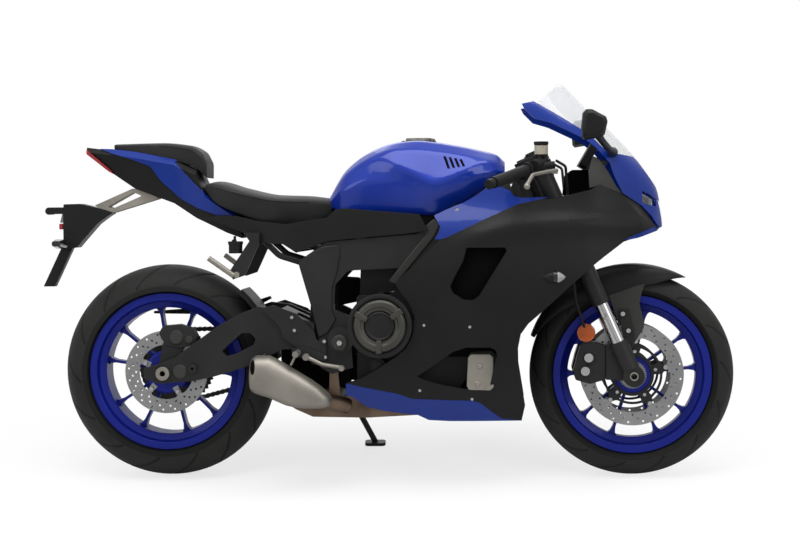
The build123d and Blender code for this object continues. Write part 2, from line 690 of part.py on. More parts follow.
def tail():
    core = tail_body(0) - tail_body(-panel_wall)
    core -= slab([(-470, 775), (-430, 775), (-430, 690), (-452, 690)], 130, -130)
    # The pillion seat rests on a key along the middle.
    key_radius = 8
    core += cross_rod(pillion_seat_x, pillion_seat_floor - (key_radius + seat_gap) * 1.04, 8, -8, key_radius)
    skin = tail_body(panel_wall + seat_gap) - tail_body(seat_gap)
    flank = slab(
        [
            (-885, 976), (-850, 962), (-790, 944), (-730, 922), (-700, 880), (-640, 826), (-590, 798), (-530, 776),
            (-468, 774), (-500, 800), (-560, 836), (-600, 874), (-655, 934), (-640, 942), (-660, 950), (-780, 972),
        ],
        140, 10,
    )
    panel = skin & flank
    lamp = tail_body(panel_wall) - tail_body(0.2)
    lamp &= slab([(-935, 982), (-860, 918), (-852, 910), (-845, 900), (-940, 950)], 60, -60)
    return {"tail_core": [core], "tail_panels": both_sides(panel), "tail_light": [lamp]}


# ---------------------------------------------------------------- bodywork
# Half widths of the bodywork's skin at level cuts, from the tail end to the nose.
# height: (x, half width) at seven stations
flank_levels = [
    (150, [(-165, 100), (0, 110), (200, 120), (360, 110), (540, 85), (690, 50), (740, 20)]),
    (300, [(-165, 160), (0, 180), (200, 192), (360, 182), (540, 155), (695, 95), (750, 25)]),
    (450, [(-165, 180), (0, 205), (200, 218), (360, 212), (540, 188), (700, 115), (765, 30)]),
    (600, [(-165, 182), (0, 210), (200, 226), (360, 222), (540, 198), (700, 125), (772, 34)]),
    (720, [(-165, 172), (0, 195), (200, 210), (360, 206), (540, 188), (700, 120), (774, 34)]),
    (815, [(-165, 150), (0, 160), (200, 166), (360, 168), (540, 165), (690, 105), (764, 34)]),
    (872, [(-165, 130), (0, 140), (200, 148), (360, 154), (540, 158), (670, 112), (746, 30)]),
]
# The nose and screen share the flanks' front stations where they meet.
nose_levels = [(height, stations[3:]) for height, stations in flank_levels if height >= 600] + [
    (940, [(360, 150), (490, 160), (620, 125), (692, 34)]),
    (1010, [(350, 148), (450, 155), (560, 122), (626, 34)]),
    (1075, [(340, 142), (410, 140), (500, 105), (558, 30)]),
    (1150, [(330, 112), (380, 100), (440, 70), (486, 22)]),
]


def shell(levels, wall):
    return hull(levels) - hull(levels, wall)


def bodywork():
    flank = shell(flank_levels, panel_wall)
    right_half = slab([(-200, 100), (800, 100), (800, 900), (-200, 900)], 0, -300)
    flank &= right_half
    outline = [
        (130, 702), (0, 578), (10, 560), (40, 520), (55, 480), (50, 430), (30, 390), (0, 365), (-60, 325),
        (-105, 300), (-148, 286), (-100, 275), (0, 256), (45, 240), (220, 235), (240, 228), (300, 180), (360, 172),
        (370, 220), (351, 340), (350, 390), (358, 430), (380, 460), (415, 490), (505, 570), (557, 617), (600, 650),
        (655, 690), (765, 726), (745, 742), (700, 770), (680, 795), (650, 825), (588, 855), (560, 840), (450, 815),
        (420, 815), (350, 800), (250, 755), (150, 708),
    ]
    upper_vent = [(205, 678), (315, 678), (320, 668), (240, 540), (222, 528), (195, 530), (165, 550), (158, 568),
                  (170, 595), (195, 640)]
    lower_vent = [(60, 308), (75, 300), (130, 283), (200, 270), (255, 265), (268, 275), (290, 370), (285, 385),
                  (270, 392), (200, 392), (165, 380), (100, 335)]
    side = flank & slab(outline, 0, -300)
    side -= slab(lower_vent, 0, -300)
    side -= slab(upper_vent, 0, -300)
    scoop = hull(flank_levels, 22) - hull(flank_levels, 22 + panel_wall)
    scoop &= slab([(150, 560), (190, 524), (228, 524), (326, 668), (318, 684), (203, 684)], 0, -300)
    rim_band = slab([(150, 560), (190, 524), (228, 524), (326, 668), (318, 684), (203, 684)], 0, -300)
    rim_band -= slab(upper_vent, 10, -310)
    rim_band &= hull(flank_levels, panel_wall - 1) - hull(flank_levels, 22 + panel_wall)
    boss = cross_rod(300, 760, -plate_outer - seat_gap, -186, 9)
    side = side + scoop + rim_band + boss
    knee = flank & slab(
        [
            (114, 703), (126, 722), (130, 740), (112, 770), (150, 788), (200, 808), (235, 828), (255, 843),
            (290, 856), (330, 840), (340, 824), (360, 819), (440, 820), (420, 815), (350, 800), (250, 755),
            (150, 708), (130, 702),
        ],
        0, -300,
    )
    belly = flank & slab(
        [(-148, 286), (-150, 250), (-130, 245), (-90, 215), (-40, 203), (60, 190), (90, 175), (150, 172), (360, 172),
         (300, 180), (240, 228), (220, 235), (45, 240), (0, 256), (-100, 275)],
        0, -300,
    )
    floor = slab([(96, 176), (150, 173), (300, 173), (300, 177), (96, 180)], -36, -300)
    belly += hull(flank_levels, panel_wall / 2) & floor
    nose = shell(nose_levels, panel_wall)
    cowl = nose & slab(
        [
            (366, 1090), (400, 1097), (480, 1050), (560, 1000), (600, 960), (640, 944), (690, 936), (700, 928),
            (756, 850), (775, 815), (784, 735), (765, 728), (740, 765), (710, 795), (655, 830), (630, 880),
            (618, 916), (580, 960), (548, 985), (450, 1032), (402, 1046), (374, 1074),
        ],
        300, -300,
    )
    ahead = Plane((800, 0, 0), x_dir=(0, 1, 0), z_dir=(1, 0, 0))
    mouth = FilletPolyline((-30, 752), (30, 752), (44, 812), (-44, 812), radius=8, close=True)
    intake = extrude(ahead * make_face(mouth), amount=-200)
    brow = FilletPolyline((-92, 800), (-56, 790), (-52, 812), (-88, 838), radius=4, close=True)
    eye = extrude(ahead * make_face(brow), amount=-240)
    eyes = eye + other_side(eye)
    lamp = (hull(nose_levels, 1) - hull(nose_levels, 1 + panel_wall)) & eyes
    cowl = cowl - intake - eyes
    screen = shell(nose_levels, screen_wall) & slab(
        [
            (400, 1097), (470, 1150), (500, 1150), (700, 937), (690, 936), (640, 944), (600, 960), (560, 1000),
            (480, 1050),
        ],
        300, -300,
    )
    root_low, root_high = on_leg(520, -3.6), on_leg(560, -3.6)
    stay = slab([(root_low.X, root_low.Z), (root_high.X, root_high.Z), (520, 806), (640, 806), (690, 800),
                 (690, 792), (640, 790), (520, 788)], 12, -12)
    stay += slab([(560, 806), (572, 806), (612, 925), (600, 925)], 12, -12)
    stay += cross_rod(606, 918, 116, -116, 7)
    stay += cross_rod(650, 798, 116.5, -116.5, 6)
    stay += slab([(684, 800), (696, 800), (696, 866), (684, 866)], 10, -10) + cross_rod(690, 860, 81.4, -81.4, 6)
    stay += slab([(606, 908), (612, 924), (575.5, 941.2), (569.3, 930.7)], 10, -10)
    meter = extrude(
        Plane((572, 0, 936), x_dir=(0, 1, 0), z_dir=(-0.86, 0, 0.51)) * RectangleRounded(150, 84, 14), amount=24)
    mirror_path = [(606, -116.3, 918), (606, -134, 918), (612, -166, 952), (588, -225, 1002)]
    mirror_arm = pipe(mirror_path, 8, 14)
    cowl -= pipe(mirror_path, 12, 14) + other_side(pipe(mirror_path, 12, 14))
    glass = [(-210, 990), (-225, 1052), (-260, 1066), (-340, 1058), (-352, 1036), (-340, 1000), (-262, 982)]
    housing = loft(
        [
            Plane((558, 0, 0), x_dir=(0, 1, 0), z_dir=(1, 0, 0)) * make_face(Polyline(*glass, close=True)),
            Plane((618, 0, 0), x_dir=(0, 1, 0), z_dir=(1, 0, 0)) * make_face(Polyline(
                *[(-282 + (y + 282) * 0.62, 1020 + (z - 1020) * 0.55) for y, z in glass], close=True)),
        ],
        ruled=True,
    )
    arm = mirror_arm - slab([(500, 900), (660, 900), (660, 1100), (500, 1100)], -224, -400)
    arm += housing
    return {
        "fairing_right": [side],
        "fairing_left": [other_side(side)],
        "knee_panels": both_sides(knee),
        "belly_pans": both_sides(belly),
        "nose_cowl": [cowl],
        "headlights": [lamp],
        "windscreen": [screen],
        "cockpit_stay": [stay],
        "instrument_panel": [meter],
        "mirrors": both_sides(arm),
    }


def front_signal():
    """The right front indicator, standing off the flank."""
    signal = loft([
        Plane((450, -190, 588), x_dir=(1, 0, 0), z_dir=(0, -1, 0)) * Ellipse(34, 16),
        Plane((456, -222, 590), x_dir=(1, 0, 0), z_dir=(0, -1, 0)) * Ellipse(20, 9),
    ])
    return signal - hull(flank_levels)


def small_parts():
    cover_levels = [
        (640, [(-575, 106), (-400, 122), (-290, 148), (0, 151), (110, 154)]),
        (810, [(-575, 106), (-400, 122), (-290, 148), (0, 151), (110, 154)]),
    ]
    cover = (hull(cover_levels) - hull(cover_levels, panel_wall)) & slab(
        [
            (-468, 773), (-400, 757), (-320, 748), (-200, 766), (-176, 789), (-150, 793), (68, 774), (84, 745),
            (95, 727), (40, 719), (-50, 712), (-160, 702), (-200, 698), (-290, 665), (-330, 690), (-400, 695),
            (-440, 720), (-500, 745), (-560, 765), (-530, 775),
        ],
        -20, -200,
    )
    cover -= cross_rod(hanger_x, hanger_z, -60, -200, 9)
    cover += cross_rod(-105, 730, -plate_outer - seat_gap, -147.5, 7)
    strut = slab([(-722, 834.4), (-716, 826), (-850, 786), (-892, 800), (-906, 808), (-792, 857), (-780, 855.7)],
                 -22, -28)
    strut -= slab([(-868, 803), (-790, 846), (-764, 835), (-850, 799)], -10, -40, 2)
    holder = slab(
        [(-1000, 812), (-950, 813), (-892, 799), (-850, 786), (-870, 774), (-900, 752), (-945, 702), (-962, 682),
         (-1008, 680), (-1002, 700), (-1002, 790)],
        30, -30, 3,
    )
    holder -= strut + other_side(strut)
    holder += slab([(-1008, 690), (-974, 690), (-1034, 566), (-1068, 566)], 14, -14)
    holder += cross_rod(-1046, 792, 26, -26, 11)
    holder += slab([(-1046, 803), (-1000, 803), (-1000, 783), (-1046, 783)], 26, -26)
    # The number plate's screw goes square through the stay.
    hole_middle = Vector(-1028.74, 0, 612)
    hole_way = Vector(-124, 0, 60).normalized()
    holder -= rod(hole_middle - hole_way * 40, hole_middle + hole_way * 40, plate_hole_radius)
    stalk = cross_rod(-1006, 694, -30, -62, 6)
    lens = loft([
        Plane((-1004, -58, 694), x_dir=(1, 0, 0), z_dir=(0, -1, 0)) * RectangleRounded(44, 28, 12),
        Plane((-1000, -128, 696), x_dir=(1, 0, 0), z_dir=(0, -1, 0)) * RectangleRounded(26, 16, 7),
    ])
    bottle = rod((-472, -113, 664), (-472, -113, 690), 20) + rod((-472, -113, 690), (-472, -113, 699), 22)
    bottle += cross_rod(-478, 700, -82, -113, 5) + rod((-478, -86, 700), (-478, -86, 714), 4)
    heel = slab([(-392, 505), (-360, 514), (-290, 488), (-240, 436), (-232, 412), (-206, 402), (-204, 345),
                 (-228, 345), (-292, 392), (-330, 418), (-340, 452)], -150, -154)
    heel += cross_rod(-214, 408, -plate_outer - seat_gap, -156, 10)
    heel += cross_rod(-212, 360, -plate_outer - seat_gap, -156, 10)
    heel += slab([(-305, 388), (-270, 392), (-210, 372), (-210, 352), (-275, 360), (-303, 366)], -150, -162)
    peg = cross_rod(-286, 376, -162, -236, 9) + rod((-288, -228, 368), (-300, -228, 345), 3.5)
    pedal = pipe([(-262, -170, 364), (-215, -178, 342), (-152, -198, 334)], 6.5, 20)
    pedal += cross_rod(-156, 334, -184, -214, 8)
    pedal += cross_rod(-262, 364, -162.3, -178, 10)
    hanger = slab([(-445, 724), (-398, 724), (-400, 690), (-442, 600), (-478, 588), (-486, 614), (-452, 664),
                   (-428, 700)], -hanger_place, -hanger_place - 7)
    rest = rod((-474, -148, 600), (-545, -160, 652), 8) + cross_rod(-466, 602, -137, -150, 9)
    return {
        "side_covers": both_sides(cover),
        "plate_struts": both_sides(strut),
        "plate_holder": [holder],
        "indicators": both_sides(stalk + lens) + both_sides(front_signal()),
        "rear_reservoir": [bottle],
        "footrest_brackets": both_sides(heel) + both_sides(hanger),
        "footrests": both_sides(peg) + both_sides(pedal) + both_sides(rest),
    }


# ---------------------------------------------------------------- steered front end
def leg_plane(along):
    return Plane(on_leg(along, -fork_offset), x_dir=ahead_of_leg, z_dir=up_leg)


def clamp_plate(along, thick):
    """A fork clamp: a plate round both legs and the steering stem."""
    plane = leg_plane(along)
    outline = FilletPolyline(
        (-26, -34), (8, -142), (70, -142), (74, -80), (44, -40), (44, 40), (74, 80), (70, 142), (8, 142), (-26, 34),
        radius=12, close=True,
    )
    return extrude(plane * make_face(outline), amount=thick)


def front_end():
    stem_low, stem_high = on_leg(lower_clamp - 30, -fork_offset), on_leg(upper_clamp + 18, -fork_offset)
    lower = clamp_plate(lower_clamp - 20, 40) - rod(stem_low, stem_high, stem_radius)
    yokes = clamp_plate(upper_clamp - 14, 26) + rod(stem_low, stem_high, stem_radius)
    # Two bearings run in the frame's head tube.
    for bearing in (lower_clamp + 28, upper_clamp - 36):
        yokes += rod(on_leg(bearing, -fork_offset), on_leg(bearing + 14, -fork_offset), head_bore - seat_gap)
    yokes -= rod(stem_low - up_leg, stem_high + up_leg, stem_bore_radius)
    legs, chrome = [], []
    for side in (1, -1):
        legs.append(rod(on_leg(outer_tube_foot, 0, side * fork_spread), on_leg(leg_top, 0, side * fork_spread),
                        outer_tube_radius, inner_tube_radius + fit))
        leg_way = rod(on_leg(lower_clamp - 60, 0, side * fork_spread), on_leg(leg_top + 60, 0, side * fork_spread),
                      outer_tube_radius)
        yokes -= leg_way
        lower -= leg_way
        chrome.append(rod(on_leg(foot_top - 40, 0, side * fork_spread), on_leg(leg_top - 4, 0, side * fork_spread),
                          inner_tube_radius))
    foot = rod(on_leg(22, 0, -fork_spread), on_leg(foot_top, 0, -fork_spread), 27)
    foot += cross_rod(front_axle.X, front_axle.Z, -84, -127, 31)
    foot += at_front(slab([(-78.7, 88.5), (-45, 102.5), (-17, 40.5), (-30, -14.5), (-78.7, -11.5)], -82, -98))
    # The fender bolts to an arm on the foot's inner side.
    fender_arm = slab([(-35, 80.5), (5, 80.5), (5, 125.5), (-11, 192.5), (-41, 192.5), (-31, 130.5)], -75.3, -82)
    fender_arm += cross_rod(-25, 177.5, -80, -85, 7) + cross_rod(-9, 128.5, -80, -85, 7)
    foot += at_front(fender_arm)
    foot -= rod(on_leg(foot_top - 40, 0, -fork_spread), on_leg(foot_top + 10, 0, -fork_spread), inner_tube_radius)
    foot -= cross_rod(front_axle.X, front_axle.Z, -60, -160, axle_radius)
    axle = cross_rod(front_axle.X, front_axle.Z, front_axle_half, -front_axle_half, axle_radius, front_axle_bore)
    caliper_corners = [
        (-150, 92.5), (-110, 98.5), (-79, 88.5), (-79, -11.5), (-125, -24.5), (-167, -12.5), (-173, 12.5), (-163, 52.5),
    ]
    caliper = at_front(slab(caliper_corners, -40, -92, 6))
    caliper -= Pos(front_axle) * cross_rod(0, 0, -front_disc_place + 3.6, -front_disc_place - 3.6, front_disc_radius + 4)
    for x, z in ((-125, 50.5), (-133, 12.5)):
        caliper += at_front(cross_rod(x, z, -90, -96, 17))
    tread = front_tyre_radius
    bow = Polyline(
        (-75, tread - 4), (-75, tread + 8), (-62, tread + 21), (-32, tread + 27), (32, tread + 27), (62, tread + 21),
        (75, tread + 8), (75, tread - 4), (72, tread - 4), (72, tread + 7), (61, tread + 18), (31, tread + 24),
        (-31, tread + 24), (-61, tread + 18), (-72, tread + 7), (-72, tread - 4), close=True,
    )
    skirt = slab([(-81, 290.5), (-45, 297.5), (20, 300.5), (27, 245.5), (23, 200.5), (34, 140.5), (15, 95.5),
                  (3, 84.5), (-23, 102.5), (-45, 170.5)], -72, -75)
    arc = revolve(Plane.YZ * make_face(bow), axis=Axis.Y, revolution_arc=101)
    fender = at_front(Rot(0, -71, 0) * arc + skirt + other_side(skirt))
    clip = rod(on_leg(clip_on_place, 0, -fork_spread), on_leg(upper_clamp - 15, 0, -fork_spread), 36)
    bar_root = on_leg(clip_on_place + 15, -2.2, -156)
    bar_end = bar_root + Vector(-139, -190, -55)
    along_bar = (bar_end - bar_root).normalized()
    clip += rod(bar_root, bar_end, 11)
    clip += rod(on_leg(clip_on_place + 3, 0, -fork_spread - 24), bar_root + along_bar * 8, 10)
    clip -= rod(on_leg(clip_on_place - 60, 0, -fork_spread), on_leg(leg_top + 60, 0, -fork_spread), outer_tube_radius)
    grip_start = bar_root + along_bar * 66
    clip += rod(grip_start, bar_end - along_bar * 14, 16.5) + rod(grip_start - along_bar * 4, grip_start, 22)
    clip += rod(bar_end - along_bar * 10, bar_end + along_bar * 10, 14)
    ahead_of_bar = Vector(16, 0, 10)
    clip += rod(bar_root + along_bar * 10 + ahead_of_bar, bar_root + along_bar * 52 + ahead_of_bar, 15)
    lever_pivot = bar_root + Vector(44, -16, 0)
    clip += rod(bar_root + along_bar * 30, lever_pivot, 11)
    # The brake's fluid pot stands on the right bar alone.
    pot_foot = bar_root + Vector(6, -8, 28)
    pot_stem = rod(pot_foot - Vector(4, 12, 16), pot_foot - Vector(4, 12, 0), 6)
    pot_neck = pot_foot + Vector(0, 0, 30)
    pot = rod(pot_foot, pot_neck, 19) + rod(pot_neck, pot_neck + Vector(0, 0, 9), 21)
    lever = pipe(
        [
            lever_pivot + Vector(6, -10, -16), lever_pivot + Vector(-20, -44, -20),
            lever_pivot + Vector(-64, -100, -30), lever_pivot + Vector(-82, -158, -60),
        ],
        5.5, 30,
    )
    lever += Pos(lever_pivot + Vector(-82, -160, -63)) * Sphere(9.5)
    lever += rod(lever_pivot - Vector(0, 0, 26), lever_pivot - Vector(0, 0, 12.5), 9)
    hose_end = front_axle + Vector(-133, -80, 96.2)
    hose = pipe(
        [
            lever_pivot + Vector(4, -4, 12), lever_pivot + Vector(32, 18, -4), (496, -116, 830),
            (502, -151, 735), (504, -151, 640), (518, -138, 520), hose_end + Vector(-12, -24, 55),
            hose_end + Vector(0, 0, 30), hose_end,
        ],
        4, 18,
    )
    return {
        "yokes": [yokes],
        "lower_yoke": [lower],
        "fork_tubes": legs,
        "fork_stanchions": chrome,
        "fork_feet": both_sides(foot),
        "front_axle": [axle],
        "front_calipers": both_sides(caliper),
        "front_fender": [fender],
        "handlebars": [clip + pot_stem, other_side(clip)],
        "hand_levers": both_sides(lever),
        "brake_reservoir": [pot],
        "brake_hoses": both_sides(hose),
    }


def side_stand():
    foot_low = floor_height(stand_foot_left)
    floor_normal = Vector(0, -sin(radians(stand_lean)), cos(radians(stand_lean)))
    contact = Vector(stand_foot_x, stand_foot_left, foot_low)
    toward = (contact + floor_normal * 12 - stand_pivot).normalized()
    leg = rod(stand_pivot + toward * 12, contact + floor_normal * 9, 9)
    knuckle = rod(stand_pivot - stand_axis * 12, stand_pivot + stand_axis * 12, 17)
    pad = extrude(Plane(contact, x_dir=(1, 0, 0), z_dir=floor_normal) * RectangleRounded(64, 38, 12), amount=10)
    stand = leg + knuckle + pad
    stand -= rod(stand_pivot - stand_axis * 40, stand_pivot + stand_axis * 40, stand_bolt_radius + fit)
    return {"side_stand": [stand]}


# ---------------------------------------------------------------- the whole bike, leaned onto its stand
def lean_over(shape):
    return Rot(-stand_lean, 0, 0) * shape


nodes = {}
for group in (
    frame(), subframe(), engine(), cooling_and_exhaust(), rear_suspension(), tank(), seats(), tail(), bodywork(),
    small_parts(), front_end(), front_wheel(), rear_wheel(), drive_chain(), side_stand(),
):
    nodes.update(group)

leaned = {name: [lean_over(shape) for shape in shapes] for name, shapes in nodes.items()}
boxes = [shape.bounding_box() for shapes in leaned.values() for shape in shapes]
origin = Vector(
    (min(box.min.X for box in boxes) + max(box.max.X for box in boxes)) / 2,
    (min(box.min.Y for box in boxes) + max(box.max.Y for box in boxes)) / 2,
    min(box.min.Z for box in boxes),
)
os.makedirs("parts", exist_ok=True)
for name, shapes in leaned.items():
    solids = [solid for shape in shapes for solid in (Pos(-origin) * shape).solids()]
    part = solids[0] if len(solids) == 1 else Compound(children=solids)
    export_step(part, f"parts/{name}.step")
print("origin", origin, "nodes", len(nodes))
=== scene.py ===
import json
from bisect import bisect_right
from math import cos, dist, exp, hypot, pi, radians, sin, sqrt

import bmesh
import bpy
from mathutils import Matrix, Vector
from mathutils.bvhtree import BVHTree


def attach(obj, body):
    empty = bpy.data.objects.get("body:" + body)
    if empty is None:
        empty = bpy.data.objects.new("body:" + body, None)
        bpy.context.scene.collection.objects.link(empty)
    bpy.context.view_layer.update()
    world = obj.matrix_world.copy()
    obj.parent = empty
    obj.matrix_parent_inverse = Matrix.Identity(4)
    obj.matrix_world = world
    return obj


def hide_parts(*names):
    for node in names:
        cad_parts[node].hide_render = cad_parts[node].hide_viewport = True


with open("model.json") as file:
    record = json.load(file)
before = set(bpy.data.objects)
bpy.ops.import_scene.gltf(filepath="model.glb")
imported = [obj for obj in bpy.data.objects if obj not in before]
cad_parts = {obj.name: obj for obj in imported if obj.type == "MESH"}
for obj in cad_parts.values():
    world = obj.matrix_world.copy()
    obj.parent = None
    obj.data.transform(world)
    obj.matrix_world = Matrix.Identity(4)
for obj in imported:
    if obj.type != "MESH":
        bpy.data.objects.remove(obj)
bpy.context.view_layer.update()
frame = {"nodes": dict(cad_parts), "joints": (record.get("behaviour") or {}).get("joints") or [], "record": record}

# The bike is shaped upright in millimetres, X forward and Y to the rider's left, then leaned like the frame.
leanAngle = radians(10)
frontAxle = Vector((685, 0, 299.54))
rearAxle = Vector((-685, 0, 315))
joints = {joint["name"]: joint for joint in frame["joints"]}
leanTurn = Matrix.Rotation(-leanAngle, 4, "X")
metres = Matrix.Scale(0.001, 4)
axleInRow = Vector(joints["front_wheel_spin"]["pos_m"])
bikeToRow = Matrix.Translation(axleInRow - leanTurn @ (frontAxle * 0.001)) @ leanTurn
bodyOf = {node: body for body, nodes in frame["record"]["behaviour"]["bodies"].items() for node in nodes}
slotOf = {part["node"]: part["material_slot"] for part in frame["record"]["subparts"]}
sides = ((-1, "Right"), (1, "Left"))
# Lines across the bike start farOut from its middle; one that misses is taken to stop at pastEdge.
farOut = 900
pastEdge = -100


def setAll(thing, settings):
    for key, value in settings.items():
        setattr(thing, key, value)


def addObject(name, data):
    thing = bpy.data.objects.new(name, data)
    bpy.context.scene.collection.objects.link(thing)
    return thing


def meshFrom(name, shape):
    mesh = bpy.data.meshes.new(name)
    shape.to_mesh(mesh)
    shape.free()
    return mesh


# The camera's place in the upright bike's metres, its turns in radians and its lens.
view = {"place": Vector((0.299101, -5.318145, 0.793531)), "yaw": 0.0556263, "pitch": 0.0339716,
        "roll": -0.0085594, "camera": {"lens": 80.6, "sensor_width": 36, "clip_end": 60}}


def makeCamera():
    yaw, pitch, roll = view["yaw"], view["pitch"], view["roll"]
    ahead = Vector((-sin(yaw) * cos(pitch), cos(yaw) * cos(pitch), -sin(pitch)))
    right = Vector((cos(yaw), sin(yaw), 0))
    up = right.cross(ahead)
    turnedRight = right * cos(roll) + up * sin(roll)
    turnedUp = up * cos(roll) - right * sin(roll)
    turn = Matrix((turnedRight, turnedUp, -ahead)).transposed().to_4x4()
    camera = addObject("camera", bpy.data.cameras.new("camera"))
    setAll(camera.data, view["camera"])
    camera.matrix_world = bikeToRow @ Matrix.Translation(view["place"]) @ turn
    bpy.context.scene.camera = camera


# Softboxes: place, target, size, power.
lamps = {
    "topSoftbox": ((0.2, -0.5, 3.2), (0, 0, 0.4), (3.6, 1.6), 100),
    "frontSoftbox": ((3.4, -3.0, 2.6), (0.2, 0, 0.6), (1.8, 1.8), 46),
    "rearSoftbox": ((-3.4, -2.6, 2.4), (-0.2, 0, 0.6), (1.8, 1.8), 34),
    "farSoftbox": ((0.0, 3.6, 2.6), (0, 0, 0.6), (3.2, 1.6), 40),
}


def makeLamps():
    for name, (place, target, size, power) in lamps.items():
        lamp = bpy.data.lights.new(name, "AREA")
        setAll(lamp, {"shape": "RECTANGLE", "size": size[0], "size_y": size[1], "energy": power})
        holder = addObject(name, lamp)
        holder.location = place
        holder.rotation_euler = (Vector(target) - Vector(place)).to_track_quat("-Z", "Y").to_euler()


# An input's value is another node's output or a plain value.
def setInputs(node, values):
    for socket, value in values.items():
        if isinstance(value, bpy.types.NodeSocket):
            node.id_data.links.new(value, node.inputs[socket])
        else:
            node.inputs[socket].default_value = value


def addNode(nodes, kind, values=(), output=0, **settings):
    node = nodes.new("ShaderNode" + kind)
    setAll(node, settings)
    setInputs(node, dict(values))
    return node.outputs[output]


def newMaterial(name):
    material = bpy.data.materials.new(name)
    material.use_nodes = True
    nodes = material.node_tree.nodes
    return material, nodes, nodes["Principled BSDF"]


white = (1, 1, 1, 1)
stage = {
    "worldLight": 0.4, "floorSize": 14, "floor": {"Base Color": (0.86, 0.86, 0.86, 1), "Roughness": 0.9},
    "fade": {"From Min": 0.3, "From Max": 1.7, "To Min": 0.68},
}


def makeWorld():
    world = bpy.data.worlds.new("studio")
    bpy.context.scene.world = world
    world.use_nodes = True
    nodes = world.node_tree.nodes
    soft = nodes["Background"]
    setInputs(soft, {"Color": white, "Strength": stage["worldLight"]})
    plain = addNode(nodes, "Background", {"Color": white})
    rays = addNode(nodes, "LightPath").node.outputs
    # The camera, metal and glass all see the white background.
    seenBy = rays["Is Camera Ray"]
    for ray in ("Is Glossy Ray", "Is Transmission Ray"):
        seenBy = addNode(nodes, "Math", {0: seenBy, 1: rays[ray]}, operation="MAXIMUM")
    mix = addNode(nodes, "MixShader", {0: seenBy, 1: soft.outputs[0], 2: plain})
    setInputs(nodes["World Output"], {0: mix})


# Seen by the camera, the floor is pale by the tyres and plain white further out.
def makeFloor():
    paint, nodes, shader = newMaterial("floorPaint")
    setInputs(shader, stage["floor"])
    place = addNode(nodes, "TexCoord", output="Object")
    away = addNode(nodes, "VectorMath", {0: place}, "Value", operation="LENGTH")
    fade = addNode(nodes, "MapRange", {"Value": away, **stage["fade"]}, interpolation_type="SMOOTHSTEP")
    byCamera = addNode(nodes, "LightPath", output="Is Camera Ray")
    seen = addNode(nodes, "Math", {0: fade, 1: byCamera}, operation="MULTIPLY")
    plain = addNode(nodes, "Emission", {"Color": white})
    mix = addNode(nodes, "MixShader", {0: seen, 1: shader.outputs[0], 2: plain})
    setInputs(nodes["Material Output"], {"Surface": mix})
    sheet = bmesh.new()
    bmesh.ops.create_grid(sheet, x_segments=1, y_segments=1, size=stage["floorSize"])
    floor = addObject("studioFloor", meshFrom("studioFloor", sheet))
    floor.data.materials.append(paint)


# Finishes: base colour, metallic, roughness, coat, specular level, bump, bump scale, colour change.
finishes = {
    "tank_paint": ((0.003, 0.022, 0.25), 0.15, 0.38, 0.4, 0.126, 0.0, 900, 0.05),
    "panel_blue": ((0.003, 0.02, 0.18), 0.1, 0.4, 0.275, 0.126, 0.0, 900, 0.05),
    "wheel_blue": ((0.004, 0.01, 0.17), 0.2, 0.42, 0.1, 0.126, 0.02, 700, 0.08),
    "panel_black": ((0.006, 0.006, 0.0062), 0.0, 0.46, 0.0, 0.151, 0.05, 900, 0.15),
    "trim_grey": ((0.035, 0.035, 0.033), 0.0, 0.5, 0.0, 0.126, 0.08, 800, 0.12),
    "shadow_black": ((0.002, 0.002, 0.002), 0.0, 0.8, 0.0, 0.034, 0.05, 500, 0.15),
    "seat_cover": ((0.014, 0.014, 0.014), 0.0, 0.6, 0.0, 0.168, 0.3, 380, 0.2),
    "frame_black": ((0.017, 0.017, 0.0175), 0.1, 0.44, 0.0, 0.151, 0.1, 500, 0.2),
    "engine_grey": ((0.012, 0.012, 0.012), 0.2, 0.5, 0.0, 0.147, 0.2, 450, 0.3),
    "cover_bronze": ((0.0465, 0.04464, 0.03844), 0.75, 0.4, 0.0, 0.5, 0.1, 450, 0.25),
    "bare_alloy": ((0.2046, 0.1922, 0.1674), 0.85, 0.5, 0.0, 0.5, 0.1, 500, 0.2),
    "bolt_steel": ((0.31, 0.31, 0.31), 1.0, 0.25, 0.0, 0.5, 0.0, 500, 0.1),
    "disc_steel": ((0.2108, 0.2108, 0.2108), 0.9, 0.36, 0.0, 0.5, 0.06, 600, 0.12),
    "header_steel": ((0.1054, 0.0744, 0.0527), 0.9, 0.4, 0.0, 0.5, 0.1, 120, 0.5),
    "chain_steel": ((0.031, 0.02914, 0.02666), 0.8, 0.45, 0.0, 0.5, 0.1, 300, 0.3),
    "stanchion": ((0.341, 0.341, 0.341), 1.0, 0.12, 0.0, 0.5, 0.0, 400, 0.05),
    "tyre": ((0.016, 0.016, 0.0155), 0.0, 0.62, 0.0, 0.126, 0.1, 350, 0.2),
    "rubber": ((0.009, 0.009, 0.009), 0.0, 0.6, 0.0, 0.126, 0.2, 500, 0.2),
    "fluid_bottle": ((0.36, 0.33, 0.26), 0.0, 0.3, 0.1, 0.21, 0.0, 500, 0.08),
    "reflector_orange": ((0.34, 0.06, 0.002), 0.0, 0.25, 0.3, 0.21, 0.3, 260, 0.25),
    "lamp_red": ((0.3, 0.006, 0.008), 0.0, 0.15, 0.4, 0.21, 0.0, 500, 0.1),
    "indicator_lens": ((0.3, 0.3, 0.29), 0.0, 0.12, 0.4, 0.21, 0.3, 400, 0.15),
}


